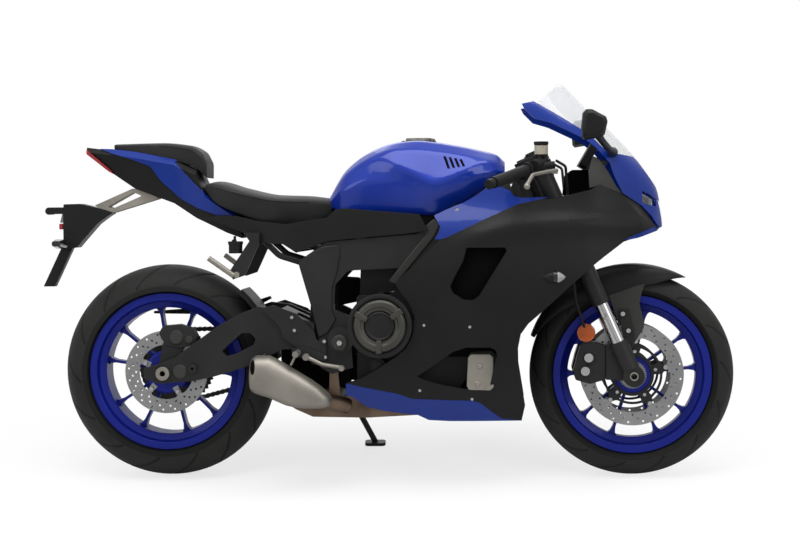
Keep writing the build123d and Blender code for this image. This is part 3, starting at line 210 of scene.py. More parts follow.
# A slightly uneven colour and roughness, with a fine bump, on Object coordinates.
def paintMaterial(name):
    color, metallic, roughness, coat, specular, bump, scale, change = finishes[name]
    material, nodes, shader = newMaterial(name)
    place = addNode(nodes, "TexCoord", output="Object")
    cloud = addNode(nodes, "TexNoise", {"Vector": place, "Scale": 9, "Detail": 5})
    tone = addNode(nodes, "ValToRGB", {"Fac": cloud})
    for stop, position, share in zip(tone.node.color_ramp.elements, (0.3, 0.7), (1 - change, 1 + change)):
        stop.position = position
        stop.color = (*[channel * share for channel in color], 1)
    spread = addNode(nodes, "MapRange", {"Value": cloud, "To Min": roughness * 0.85,
                                         "To Max": min(roughness * 1.15, 1)})
    setInputs(shader, {"Metallic": metallic, "Coat Weight": coat, "Coat Roughness": 0.06,
                       "Specular IOR Level": specular, "Base Color": tone, "Roughness": spread})
    if bump:
        grain = addNode(nodes, "TexNoise", {"Vector": place, "Scale": scale, "Detail": 3})
        relief = addNode(nodes, "Bump", {"Height": grain, "Strength": bump, "Distance": 0.001})
        setInputs(shader, {"Normal": relief})
    return material


# Glass and clear plastic: colour, opacity.
glasses = {"screen_clear": ((0.62, 0.64, 0.66), 0.24), "lamp_clear": ((0.06, 0.065, 0.08), 0.7)}


def glassMaterial(name):
    color, opacity = glasses[name]
    material, nodes, shader = newMaterial(name)
    place = addNode(nodes, "TexCoord", output="Object")
    haze = addNode(nodes, "TexNoise", {"Vector": place, "Scale": 14})
    spread = addNode(nodes, "MapRange", {"Value": haze, "To Min": 0.03, "To Max": 0.07})
    setInputs(shader, {"Alpha": opacity, "IOR": 1.49, "Base Color": (*color, 1), "Roughness": spread})
    return material


made = {}


# A look is made when it is first asked for.
def finish(name):
    if name not in made:
        made[name] = glassMaterial(name) if name in glasses else paintMaterial(name)
    return made[name]


# A look's colour gives way to a tint, by a share.
def tint(shader, share, color):
    base = shader.inputs["Base Color"].links[0].from_socket
    mix = addNode(shader.id_data.nodes, "Mix", {"Factor": share, 6: base, 7: color}, 2, data_type="RGBA")
    setInputs(shader, {"Base Color": mix})


def smoothByAngle(shape, limit=radians(32)):
    for face in shape.faces:
        face.smooth = True
    for edge in shape.edges:
        edge.smooth = len(edge.link_faces) == 2 and edge.calc_face_angle(0) < limit


def addModifier(piece, kind, **settings):
    setAll(piece.modifiers.new(kind.lower(), kind), settings)


replacedNodes = set()


# A finished bmesh becomes a piece; a shape of the upright bike is leaned first. Wall and edge are in
# millimetres. A piece that replaces a CAD node rides on that node's body.
def addPiece(name, shape, slot, node=None, wall=0, edge=0, look=None, body="chassis", angle=35, upright=True):
    if upright:
        shape.transform(bikeToRow @ metres)
        smoothByAngle(shape)
    piece = addObject(name, meshFrom(name, shape))
    piece.data.materials.append(finish(look or slot))
    if wall:
        addModifier(piece, "SOLIDIFY", thickness=wall * 0.001, offset=-1, use_even_offset=False, use_rim=True)
    if edge:
        addModifier(piece, "BEVEL", width=edge * 0.001, segments=2, limit_method="ANGLE",
                    angle_limit=radians(angle))
    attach(piece, bodyOf.get(node, body))
    if node:
        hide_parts(node)
        replacedNodes.add(node)
    return piece


edgeWidths = {"side_covers": 3, "frame_left": 4, "frame_right": 4, "swingarm": 5, "front_calipers": 4,
              "rear_caliper": 4, "fork_feet": 3}
plainEdge = 1.2


# A merged copy of a CAD node, with smooth rounds and softened edges.
def dressNode(node):
    shape = bmesh.new()
    shape.from_mesh(frame["nodes"][node].data)
    bmesh.ops.remove_doubles(shape, verts=shape.verts, dist=0.00001)
    bmesh.ops.dissolve_limit(shape, angle_limit=radians(0.6), verts=shape.verts, edges=shape.edges)
    smoothByAngle(shape)
    addPiece(node + "_skin", shape, slotOf[node], node, edge=edgeWidths.get(node, plainEdge), upright=False)


# A smooth line through values at rising keys, which never swings past them.
def through(keys, values, at):
    last = len(keys) - 1
    low = max(0, min(last - 1, bisect_right(keys, at) - 1))
    span = keys[low + 1] - keys[low]
    share = min(max((at - keys[low]) / span, 0), 1)
    s2, s3 = share * share, share ** 3
    found = []
    for part in range(len(values[0])):
        rises = {i: (values[i + 1][part] - values[i][part]) / (keys[i + 1] - keys[i])
                 for i in range(max(0, low - 1), min(last, low + 2))}
        here = rises[low]
        slopes = [0 if near * here <= 0 else 2 * near * here / (near + here)
                  for near in (rises.get(low - 1, here), rises.get(low + 1, here))]
        a, b = values[low][part], values[low + 1][part]
        found.append((2 * s3 - 3 * s2 + 1) * a + (s3 - 2 * s2 + share) * span * slopes[0]
                     + (3 * s2 - 2 * s3) * b + (s3 - s2) * span * slopes[1])
    return found


def polar(radius, turn, middle=(0, 0)):
    return middle[0] + radius * cos(turn), middle[1] + radius * sin(turn)


def lengthsAlong(line, least=0.0):
    keys = [0]
    for here, ahead in zip(line, line[1:]):
        keys.append(keys[-1] + max(dist(here, ahead), least))
    return keys


# A grid whose corners run from 0 to 1 each way, put in place by a function.
def mappedGrid(columns, rows, place, closed=False, capped=False):
    shape = bmesh.new()
    bmesh.ops.create_grid(shape, x_segments=columns, y_segments=rows, size=0.5)
    for vert in shape.verts:
        vert.co = place(vert.co.x + 0.5, vert.co.y + 0.5)
    bmesh.ops.remove_doubles(shape, verts=shape.verts, dist=0.02)
    if capped:
        rim = [edge for edge in shape.edges if edge.is_boundary]
        bmesh.ops.holes_fill(shape, edges=rim, sides=0)
    if closed or capped:
        bmesh.ops.recalc_face_normals(shape, faces=shape.faces)
    return shape


def fineLine(outline, cell):
    corners = []
    for here, ahead in zip(outline, outline[1:] + outline[:1]):
        wide, high = ahead[0] - here[0], ahead[1] - here[1]
        steps = max(1, round(hypot(wide, high) / cell))
        corners += [(here[0] + wide * step / steps, here[1] + high * step / steps) for step in range(steps)]
    return corners


def addLoop(shape, corners):
    verts = [shape.verts.new(corner) for corner in corners]
    return verts, [shape.edges.new(pair) for pair in zip(verts[-1:] + verts, verts)]


# The first outline is filled and the others are holes in it.
def filled(outlines):
    shape = bmesh.new()
    edges = []
    for outline in outlines:
        edges += addLoop(shape, outline)[1]
    bmesh.ops.triangle_fill(shape, use_beauty=True, use_dissolve=False, edges=edges)
    return shape


# A flat sheet with holes, cut into cells so that it can be curved.
def flatSheet(outlines, cell):
    shape = filled([[(x, z, 0) for x, z in fineLine(outline, cell)] for outline in outlines])
    for axis in (0, 1):
        low = min(vert.co[axis] for vert in shape.verts)
        high = max(vert.co[axis] for vert in shape.verts)
        way = Vector((axis == 0, axis == 1, 0))
        for step in range(1, int((high - low) / cell) + 1):
            bmesh.ops.bisect_plane(shape, geom=shape.verts[:] + shape.edges[:] + shape.faces[:],
                                   plane_co=way * (low + step * cell), plane_no=way, dist=0.0001)
    bmesh.ops.remove_doubles(shape, verts=shape.verts, dist=0.0005)
    return shape


# A flat outline laid on whatever the tree holds, seen from the rider's right.
def laidOn(outline, tree, lift, cell):
    def half(x, z):
        hit = tree.ray_cast(Vector((x, -farOut, z)), Vector((0, 1, 0)))[0]
        return lift - (hit.y if hit else pastEdge)

    return sidePanel([outline], half, cell)


def turnOutward(shape, way):
    shape.normal_update()
    if sum(face.normal.dot(way) * face.calc_area() for face in shape.faces) < 0:
        bmesh.ops.reverse_faces(shape, faces=shape.faces)


def mirrored(shape):
    other = shape.copy()
    other.transform(Matrix.Scale(-1, 4, (0, 1, 0)))
    bmesh.ops.reverse_faces(other, faces=other.faces)
    return other


def joinShapes(shapes):
    whole = shapes[0]
    for shape in shapes[1:]:
        mesh = meshFrom("part", shape)
        whole.from_mesh(mesh)
        bpy.data.meshes.remove(mesh)
    return whole


# A side panel: its outline in side view, laid on a skin whose half width is known.
def sidePanel(outlines, half, cell=14):
    shape = flatSheet(outlines, cell)
    for vert in shape.verts:
        x, z = vert.co.x, vert.co.y
        vert.co = (x, -half(x, z), z)
    turnOutward(shape, Vector((0, -1, 0)))
    return shape


def addBothSides(name, shape, slot, right=None, left=None, **rest):
    other = mirrored(shape)
    addPiece(name + "Right", shape, slot, right, **rest)
    addPiece(name + "Left", other, slot, left or right, **rest)


# Half widths of the bodywork at level cuts: height, half widths at flankPlaces, then two stations of
# (x, half width) at the nose.
flankPlaces = (-165, 0, 200, 360, 540)
flankRows = [
    (150, (100, 110, 120, 110, 85), (690, 50), (740, 20)),
    (300, (160, 180, 192, 182, 155), (695, 95), (750, 25)),
    (450, (180, 205, 218, 212, 188), (700, 115), (765, 30)),
    (600, (182, 210, 226, 222, 198), (700, 125), (772, 34)),
    (720, (172, 195, 210, 206, 188), (700, 120), (774, 34)),
    (815, (150, 160, 166, 168, 165), (690, 105), (764, 34)),
    (872, (130, 140, 148, 154, 158), (670, 112), (746, 30)),
]
flankLevels = [(height, [*zip(flankPlaces, halves), *ends]) for height, halves, *ends in flankRows]
noseLevels = [(height, stations[3:]) for height, stations in flankLevels if height >= 600] + [
    (940, [(360, 150), (490, 160), (620, 125), (692, 34)]),
    (1010, [(350, 148), (450, 155), (560, 122), (626, 34)]),
    (1075, [(340, 142), (410, 140), (500, 105), (558, 30)]),
    (1150, [(330, 112), (380, 100), (440, 70), (486, 22)]),
]


def stationsAt(levels, z):
    heights = [height for height, stations in levels]
    count = len(levels[0][1])
    return [through(heights, [stations[number] for height, stations in levels], z) for number in range(count)]


# A soft ridge runs along the flank and fades out at both ends.
ridge = {"keys": [150, 240, 383, 560, 743, 790], "heights": [(690,), (716,), (748,), (752,), (738,), (730,)],
         "proud": 9, "above": 15, "below": 34, "fade": 120}


def flankHalf(x, z):
    stations = stationsAt(flankLevels, z)
    half = through([place for place, half in stations], [(half,) for place, half in stations], x)[0]
    away = z - through(ridge["keys"], ridge["heights"], x)[0]
    spread = ridge["above"] if away > 0 else ridge["below"]
    fade = min(max((x - ridge["keys"][0]) / ridge["fade"], 0), 1)
    return half + ridge["proud"] * fade * exp(-(away / spread) ** 2)


# The nose at a height: share runs from 0 at the rear edge to 1 on the middle line.
def noseAt(share, z):
    stations = stationsAt(noseLevels, z)
    tip = (stations[-1][0] + 4, 0)
    line = [*stations, tip] + [(x, -half) for x, half in reversed(stations)]
    keys = lengthsAlong(line)
    return through(keys, line, share * keys[len(stations)])


# The share at which the nose reaches a wanted x (part 0) or half width (part 1).
def noseShare(z, wanted, part):
    low, high = (0.0, 1.0) if part == 0 else (0.35, 1.0)
    rising = part == 0
    for step in range(26):
        middle = (low + high) / 2
        if (noseAt(middle, z)[part] < wanted) == rising:
            low = middle
        else:
            high = middle
    return low if low < 0.9995 else 1.0


# Side outlines (x, z) and front-view holes (y, z) laid on the nose.
def nosePanel(outline, holes=(), cell=12):
    scale = 420.0
    lines = [[(noseShare(z, x, 0) * scale, z) for x, z in fineLine(outline, cell)]]
    lines += [[(noseShare(z, y, 1) * scale, z) for y, z in fineLine(hole, 8)] for hole in holes]
    shape = flatSheet(lines, cell)
    for vert in shape.verts:
        share, z = min(max(vert.co.x / scale, 0), 1), vert.co.y
        x, y = noseAt(share, z)
        vert.co = (x, -y, z)
    turnOutward(shape, Vector((0.3, -1, 0.1)))
    whole = joinShapes([shape, mirrored(shape)])
    bmesh.ops.remove_doubles(whole, verts=whole.verts, dist=0.3)
    return whole


makeCamera()
makeWorld()
makeFloor()
makeLamps()
print("stage set")

# Edges that two panels share.
bellyEdge = [(-148, 286), (-100, 275), (0, 256), (45, 240), (220, 235), (240, 228), (300, 180), (360, 172)]
kneeEdge = [(420, 815), (350, 800), (250, 755), (150, 708)]
screenEdge = [(400, 1097), (480, 1050), (560, 1000), (600, 960), (640, 944), (690, 936)]
fairing = {
    "outline": [
        (130, 702), (0, 578), (10, 560), (40, 520), (55, 480), (50, 430), (30, 390), (0, 365), (-60, 325),
        (-105, 300), *bellyEdge, (370, 220), (351, 340), (350, 390), (358, 430), (380, 460), (415, 490),
        (505, 570), (557, 617), (600, 650), (655, 690), (765, 726), (745, 742), (700, 770), (680, 795),
        (650, 825), (588, 855), (560, 840), (450, 815), *kneeEdge,
    ],
    "upperVent": [(205, 678), (315, 678), (320, 668), (240, 540), (222, 528), (195, 530), (165, 550),
                  (158, 568), (170, 595), (195, 640)],
    "lowerVent": [(60, 308), (75, 300), (130, 283), (200, 270), (255, 265), (268, 275), (290, 370),
                  (285, 385), (270, 392), (200, 392), (165, 380), (100, 335)],
    "ventDepth": 22,
    "lipDepth": 12,
    "screws": [(82, 457), (213, 452), (67, 266), (217, 240), (600, 472)],
    "screwSize": (5, 3),
}


def ventWall(outline, depth):
    line = fineLine(outline, 10)
    count = len(line)

    def place(u, v):
        x, z = line[round(u * count) % count]
        return Vector((x, -flankHalf(x, z) + depth * v, z))

    return mappedGrid(count, 3, place)


def makeFairing():
    nodes = ("fairing_right", "fairing_left")
    vent, depth = fairing["upperVent"], fairing["ventDepth"]
    sheet = sidePanel([fairing["outline"], vent, fairing["lowerVent"]], flankHalf)
    addBothSides("fairing", sheet, "panel_black", *nodes, wall=4, edge=1.2)
    wall = ventWall(vent, depth)
    # The scoop's back wears the painted-shade black, darker than the panels: painted shade inside the vent.
    back = sidePanel([vent], lambda x, z: flankHalf(x, z) - depth)
    bmesh.ops.recalc_face_normals(wall, faces=wall.faces)
    addBothSides("ventScoop", joinShapes([wall, back]), "panel_black", *nodes, wall=1.5, look="shadow_black")
    lip = ventWall(fairing["lowerVent"], fairing["lipDepth"])
    addBothSides("ventLip", lip, "panel_black", *nodes, wall=1.5)


makeFairing()
print("fairing made")

kneeOutline = [
    (114, 703), (126, 722), (130, 740), (112, 770), (150, 788), (200, 808), (235, 828), (255, 843),
    (290, 856), (330, 840), (340, 824), (360, 819), (440, 820), *kneeEdge, (130, 702),
]
bellyOutline = [
    (-148, 286), (-150, 250), (-130, 245), (-90, 215), (-40, 203), (60, 190), (90, 175), (150, 172),
    *reversed(bellyEdge[1:]),
]
addBothSides("knee", sidePanel([kneeOutline], flankHalf, 10), "panel_blue", "knee_panels", wall=4, edge=1)
addBothSides("belly", sidePanel([bellyOutline], flankHalf), "panel_blue", "belly_pans", wall=4, edge=1)
cowlOutline = [
    (366, 1090), *screenEdge, (700, 928), (756, 850), (775, 815), (784, 735), (765, 728), (740, 765),
    (710, 795), (655, 830), (630, 880), (618, 916), (580, 960), (548, 985), (450, 1032), (402, 1046),
    (374, 1074),
]
screenOutline = [(400, 1097), (470, 1150), (500, 1150), (700, 937), *reversed(screenEdge[1:])]
mouthHole = [(30, 752), (44, 812), (0, 812), (0, 752)]
eyeHole = [(92, 800), (56, 790), (52, 812), (88, 838)]
addPiece("noseCowl", nosePanel(cowlOutline, [mouthHole, eyeHole]), "panel_blue", "nose_cowl", wall=4, edge=1)
addPiece("screen", nosePanel(screenOutline), "screen_clear", "windscreen", wall=3)
print("nose made")


# A body through sections across the bike: each row is x, then (half width, height) from the middle top down.
def skinBody(stations, columns, rows, creased=False):
    xs = [x for x, points in stations]
    count = len(stations[0][1])

    def place(u, v):
        x = xs[0] + (xs[-1] - xs[0]) * u
        half = [through(xs, [points[number] for station, points in stations], x) for number in range(count)]
        line = [(0, half[-1][1])] + list(reversed(half)) + [(-y, z) for y, z in half[1:]] + [(0, half[-1][1])]
        keys = lengthsAlong(line, 0.01)
        at = v * keys[-1]
        if creased:
            low = max(0, min(len(keys) - 2, bisect_right(keys, at) - 1))
            share = (at - keys[low]) / (keys[low + 1] - keys[low])
            return Vector((x, *[a + (b - a) * share for a, b in zip(line[low], line[low + 1])]))
        y, z = through(keys, line, at)
        return Vector((x, y, z))

    return mappedGrid(columns, rows, place, capped=True)


# Tank: x, top and crown half width, then height and half width of upper crease, lower crease, knee and foot.
tankRows = [
    (-206, 818, 20, 815, 34, 812, 37, 806, 46, 794, 44),
    (-150, 906, 38, 894, 70, 884, 78, 850, 92, 786, 88),
    (-60, 966, 58, 946, 96, 936, 104, 872, 116, 780, 102),
    (0, 984, 64, 962, 106, 918, 132, 866, 128, 776, 110),
    (60, 989, 68, 960, 110, 888, 146, 850, 138, 772, 118),
    (110, 984, 68, 954, 112, 865, 154, 840, 148, 770, 120),
    (200, 968, 64, 942, 106, 900, 140, 866, 136, 806, 114),
    (260, 954, 56, 932, 98, 924, 108, 892, 118, 848, 106),
    (290, 946, 50, 924, 86, 917, 92, 896, 104, 870, 96),
    (316, 922, 36, 908, 64, 903, 68, 894, 78, 884, 74),
]
tankStations = [
    (x, [(0, top + 3), (crown, top), (wide, high), (side, low), (knee, kneeHeight), (foot, base)])
    for x, top, crown, high, wide, low, side, kneeHeight, knee, base, foot in tankRows
]


def loftRows(rows):
    return [(x, [(0, top + 2), (crown, top), (edge, high), (foot, base)])
            for x, top, crown, high, edge, base, foot in rows]


# Seats: x, top, crown half width, height and half width of the edge, then of the base.
riderRows = [
    (-562, 868, 60, 862, 90, 848, 88),
    (-530, 874, 72, 858, 114, 812, 106),
    (-450, 853, 82, 836, 130, 776, 112),
    (-350, 832, 74, 816, 127, 746, 106),
    (-260, 828, 50, 812, 94, 748, 84),
    (-194, 820, 26, 804, 56, 774, 50),
]
pillionRows = [
    (-842, 988, 24, 985, 40, 974, 38),
    (-700, 990, 46, 982, 62, 948, 60),
    (-612, 981, 56, 970, 71, 924, 66),
    (-578, 963, 58, 948, 75, 902, 68),
    (-562, 934, 54, 924, 68, 886, 62),
]

# The filler's ring and neck, as (radius, height) round an axis at x, and the dent for it in the skin.
filler = {"x": 62, "ring": [(0.05, 949), (26, 949), (26, 991), (50, 991), (52, 989), (52, 945), (0.05, 945)]}
dent = {"radius": 37, "depth": 60, "above": 900}
softened = {"times": 3, "from": -200, "to": 312}
tankSlots = {"count": 4, "first": 138, "pitch": 15.5, "top": 941, "foot": 906, "wide": 7, "slant": 20}


# The skin is sunk round the filler, whose ring and neck cover the dent.
def makeTank():
    shape = skinBody(tankStations, 110, 120, creased=True)
    soft = [vert for vert in shape.verts if softened["from"] < vert.co.x < softened["to"]]
    for smoothing in range(softened["times"]):
        bmesh.ops.smooth_vert(shape, verts=soft, factor=0.5, use_axis_x=False, use_axis_y=True,
                              use_axis_z=True)
    for vert in shape.verts:
        if hypot(vert.co.x - filler["x"], vert.co.y) < dent["radius"] and vert.co.z > dent["above"]:
            vert.co.z -= dent["depth"]
    tree = BVHTree.FromBMesh(shape)
    addPiece("tankSkin", shape, "tank_paint", "fuel_tank")
    wide, slant = tankSlots["wide"], tankSlots["slant"]
    # Each slot is a thin sheet laid on the skin, in the painted-shade black: painted shade standing for the hollow
    # of the slot.
    for number in range(tankSlots["count"]):
        left = tankSlots["first"] + number * tankSlots["pitch"]
        high, low = tankSlots["top"] - number * 3, tankSlots["foot"] + number * 2
        slot = [(left, high), (left + wide, high + 1), (left + slant - number, low),
                (left + slant - wide - number, low - 1)]
        addBothSides("tankSlot%d" % number, laidOn(slot, tree, 0.7, 5), "panel_black", wall=1,
                     look="shadow_black")


def makeFiller():
    ring = filler["ring"]
    last = len(ring) - 1

    def place(u, v):
        radius, z = ring[round(v * last)]
        return Vector((*polar(radius, 2 * pi * u, (filler["x"], 0)), z))

    addPiece("fillerRing", mappedGrid(64, last, place, closed=True), "frame_black", "fuel_tank", edge=0.8)


makeTank()
makeFiller()
rider = addPiece("riderSeat", skinBody(loftRows(riderRows), 70, 60), "seat_cover", "rider_seat")
pillion = addPiece("pillionSeat", skinBody(loftRows(pillionRows), 60, 48), "seat_cover", "pillion_seat")
print("tank and seats made")


# Tyres: a round crown with curved grooves, and plain side walls.
tyres = {
    "front_tyre": {"middle": frontAxle, "radius": 300, "width": 120, "bead": 46},
    "rear_tyre": {"middle": rearAxle, "radius": 315, "width": 180, "bead": 72},
}
tread = {"grooves": 14, "depth": 4.5, "halfWidth": 3.6, "around": 720, "across": 44, "sweep": 0.9,
         "wallTop": 252, "beadFoot": 217, "beadTop": 232.3, "widest": 82, "plainMiddle": 0.12}
tyreTints = {"wall": (0.007, 0.007, 0.0065, 1), "grooveShade": (0.002, 0.002, 0.002, 1)}


# Darker side walls, and painted shade in the grooves that deepens with their depth, by the mesh's own attributes.
def shadeTyre():
    shader = finish("tyre").node_tree.nodes["Principled BSDF"]
    for name, color in tyreTints.items():
        share = addNode(shader.id_data.nodes, "Attribute", output="Fac", attribute_name=name)
        tint(shader, share, color)


def makeTyre(node):
    size = tyres[node]
    crown = size["width"] / 2
    centre = size["radius"] - crown
    bead, foot, top, widest = size["bead"], tread["beadFoot"], tread["beadTop"], tread["widest"]
    profile = [(-bead, foot), (-bead, top)]
    for step in range(tread["across"] + 1):
        angle = radians(-widest + 2 * widest * step / tread["across"])
        profile.append((crown * sin(angle), centre + crown * cos(angle)))
    profile += [(bead, top), (bead, foot), (-bead, foot)]
    last = len(profile) - 1

    def cutAt(u, across, radius):
        lean = across / crown
        if radius < tread["wallTop"] + 4 or abs(lean) < tread["plainMiddle"]:
            return 0
        side = 0.5 if lean > 0 else 0.0
        phase = u * tread["grooves"] + side + tread["sweep"] * lean * lean
        away = abs(phase - round(phase)) / tread["grooves"] * 2 * pi * radius
        return min(1, max(0, 1.6 * (1 - away / tread["halfWidth"])))

    def place(u, v):
        across, radius = profile[round(v * last)]
        turn = 2 * pi * u
        radius -= tread["depth"] * cutAt(u, across, radius)
        return size["middle"] + Vector((radius * sin(turn), across, radius * cos(turn)))

    shape = mappedGrid(tread["around"], last, place, closed=True)
    wall = shape.verts.layers.float.new("wall")
    grooveShade = shape.verts.layers.float.new("grooveShade")
    for vert in shape.verts:
        away = vert.co - size["middle"]
        plain = centre + sqrt(max(crown * crown - away.y * away.y, 0))
        radius = hypot(away.x, away.z)
        vert[wall] = 1 if plain < tread["wallTop"] else 0
        # Painted shade: the deeper a point lies in a groove, the darker it is drawn.
        vert[grooveShade] = min(1, max(0, (plain - radius) / tread["depth"])) if plain > tread["wallTop"] else 0
    shadeTyre()
    addPiece(node + "_tread", shape, "tyre", node)


for node in tyres:
    makeTyre(node)
print("tyres made")


# A closed profile of (y, radius) spun about an axis across the bike.
def turned(profile, middle, steps=64):
    shape = bmesh.new()
    verts, edges = addLoop(shape, [(0, y, radius) for y, radius in profile])
    bmesh.ops.spin(shape, geom=verts + edges, cent=(0, 0, 0), axis=(0, 1, 0), angle=2 * pi, steps=steps,
                   use_merge=True)
    bmesh.ops.remove_doubles(shape, verts=shape.verts, dist=0.01)
    bmesh.ops.dissolve_degenerate(shape, dist=0.01, edges=shape.edges)
    bmesh.ops.recalc_face_normals(shape, faces=shape.faces)
    shape.transform(Matrix.Translation(middle))
    return shape


# Flat faces get a thickness across the bike, and the whole is turned and put in place.
def thicken(shape, depth, middle, turn=0.0):
    raised = bmesh.ops.extrude_face_region(shape, geom=shape.faces[:])["geom"]
    bmesh.ops.translate(shape, verts=[part for part in raised if isinstance(part, bmesh.types.BMVert)],
                        vec=(0, depth, 0))
    bmesh.ops.recalc_face_normals(shape, faces=shape.faces)
    shape.transform(Matrix.Translation(middle) @ Matrix.Rotation(-turn, 4, "Y"))
    return shape


# A flat outline in side view, with thickness from one y to another.
def plate(outline, near, far, middle=(0, 0, 0), turn=0.0):
    shape = bmesh.new()
    shape.faces.new([shape.verts.new((x, near, z)) for x, z in outline])
    return thicken(shape, far - near, middle, turn)


def ringPoints(radius, count, middle=(0, 0)):
    return [polar(radius, 2 * pi * step / count, middle) for step in range(count)]


# A flat plate with holes, on both sides of a level y.
def holedPlate(outlines, y, half, middle):
    return thicken(filled([[(x, y - half, z) for x, z in outline] for outline in outlines]), 2 * half, middle)


headShape = {"segments": 20, "taper": 0.82}


def boltHead(place, radius, height, side=-1):
    shape = bmesh.new()
    bmesh.ops.create_cone(shape, cap_ends=True, segments=headShape["segments"], radius1=radius,
                          radius2=radius * headShape["taper"], depth=height)
    shape.transform(Matrix.Translation(place) @ Matrix.Rotation(-side * pi / 2, 4, "X"))
    return shape


# Wheels: places and sizes of each, then what both share: the rim's outer and inner profile as (how far in
# from its edge, radius), the hub, and the spokes.
wheels = {
    "front": {"middle": frontAxle, "half": 52, "hub": 27, "hubHalf": 50, "first": 20.5, "spokeHalf": 15},
    "rear": {"middle": rearAxle, "half": 78, "hub": 36, "hubHalf": 62, "first": 11.5, "spokeHalf": 20},
    "outer": [(0, 232), (6, 232), (6, 216), (20, 214), (30, 194)], "inner": [(0, 210), (24, 207), (32, 188)],
    "flange": 60, "bore": 12.6, "split": 15.5,
    "reach": 190, "root": 8, "waist": 4.2, "heel": 7.56, "foot": 15,
}


def makeWheel(end):
    size = wheels[end]
    half, hubHalf, radius = size["half"], size["hubHalf"], size["hub"]
    flange, bore, reach, waist = (wheels[key] for key in ("flange", "bore", "reach", "waist"))
    outer, inner = ([(half - inset, level) for inset, level in wheels[key]] for key in ("outer", "inner"))
    barrel = turned([(-y, level) for y, level in outer] + outer[::-1] + inner + [
        (-y, level) for y, level in reversed(inner)], size["middle"], 144)
    hub = turned([
        (-hubHalf, bore), (hubHalf, bore), (hubHalf, flange), (hubHalf - 8, flange), (hubHalf - 14, radius),
        (14 - hubHalf, radius), (8 - hubHalf, flange), (-hubHalf, flange),
    ], size["middle"], 72)
    flare = [(radius - 4, wheels["root"]), (radius + 30, waist), (reach - 24, waist),
             (reach - 9, wheels["heel"]), (reach, wheels["foot"])]
    spoke = [(x, -z) for x, z in flare] + flare[::-1]
    spokes = [plate(spoke, -size["spokeHalf"], size["spokeHalf"], size["middle"],
                    radians(size["first"] + pair * 72 + side * wheels["split"]))
              for pair in range(5) for side in (-1, 1)]
    addPiece(end + "Wheel", joinShapes([barrel, hub] + spokes), "wheel_blue", end + "_rim", edge=1.5)


for end in ("front", "rear"):
    makeWheel(end)
print("wheels made")

# Discs hang on five arms; each ring's inner edge has a lobe at every arm.
discs = {
    "arms": 5, "turn": 12.5, "half": 2.5, "holes": 20, "hole": 3.1, "swirl": 0.11,
    "front": {"y": 62, "inner": 110, "outer": 149, "rows": (118, 129, 140), "lobe": -14},
    "rear": {"y": -92, "inner": 80, "outer": 122, "rows": (90, 101, 112), "lobe": -9},
}
armTurns = [discs["turn"] + arm * 72 for arm in range(discs["arms"])]
carrier = {"y": 61, "half": 2.5, "edge": 87, "lobe": 17, "bore": 54, "slot": (63, 80), "slotStart": 12,
           "slotSweep": 48, "rivets": ((98, 7.5), (68, 6)), "rivetY": 65, "rivetHeight": 3,
           "hub": [(50, 24), (59, 24), (59, 58), (50, 58)]}
speedRing = {"y": 65, "half": 1, "teeth": 40, "tip": 41, "root": 37.5, "bore": 31, "toothHalf": 0.035}
rearCarrier = {"lug": [(50, -9), (84, -7), (84, 7), (50, 9)], "lugY": (-94.1, -90.1), "boltRadius": 66,
               "boltY": -97, "bolt": (7, 5),
               "hub": [(-62, 16), (-93, 16), (-93, 58), (-88, 64), (-62, 60)]}


def lobed(radius, lobe, power, count):
    line = []
    for step in range(count):
        turn = 2 * pi * step / count
        reach = radius + lobe * max(0, cos(discs["arms"] * (turn - radians(discs["turn"])))) ** power
        line.append(polar(reach, turn))
    return line


def discRing(size, side, middle):
    outlines = [ringPoints(size["outer"], 120), lobed(size["inner"], size["lobe"], 8, 150)]
    for number in range(discs["holes"]):
        for row, radius in enumerate(size["rows"]):
            turn = 2 * pi * number / discs["holes"] + row * discs["swirl"]
            outlines.append(ringPoints(discs["hole"], 10, polar(radius, turn)))
    return holedPlate(outlines, side * size["y"], discs["half"], middle)


def arcSlot(inner, outer, start, sweep, steps=12):
    turns = [radians(start + sweep * step / steps) for step in range(steps + 1)]
    return [polar(outer, turn) for turn in turns] + [polar(inner, turn) for turn in reversed(turns)]


def headAt(axle, radius, turn, y, size, height, side=-1):
    x, z = polar(radius, radians(turn))
    return boltHead(axle + Vector((x, y, z)), size, height, side)


def makeFrontDiscs():
    teeth, half = speedRing["teeth"], speedRing["toothHalf"]
    toothed = [polar(radius, 2 * pi * (number + shift) / teeth + way * half) for number in range(teeth)
               for shift, radius in ((0, speedRing["tip"]), (0.5, speedRing["root"])) for way in (-1, 1)]
    rivetY, start, sweep = carrier["rivetY"], carrier["slotStart"], carrier["slotSweep"]
    spider = [lobed(carrier["edge"], carrier["lobe"], 6, 180), ringPoints(carrier["bore"], 64)]
    spider += [arcSlot(*carrier["slot"], turn + start, sweep) for turn in armTurns]
    for side, name in sides:
        ring = discRing(discs["front"], side, frontAxle)
        hub = turned([(side * y, radius) for y, radius in carrier["hub"]], frontAxle)
        arms = holedPlate(spider, side * carrier["y"], carrier["half"], frontAxle)
        heads = [headAt(frontAxle, radius, turn, side * rivetY, size, carrier["rivetHeight"], side)
                 for turn in armTurns for radius, size in carrier["rivets"]]
        pickup = holedPlate([toothed, ringPoints(speedRing["bore"], 40)], side * speedRing["y"],
                            speedRing["half"], frontAxle)
        for label, shape, slot, edge, look in (
            ("frontDisc", ring, "disc_steel", 0.5, None), ("discHub", hub, "wheel_blue", 0.6, None),
            ("discCarrier", arms, "frame_black", 0.6, None),
            ("discRivets", joinShapes(heads), "disc_steel", 0, "bolt_steel"),
            ("speedRing", pickup, "disc_steel", 0, None),
        ):
            addPiece(label + name, shape, slot, "front_discs", edge=edge, look=look)


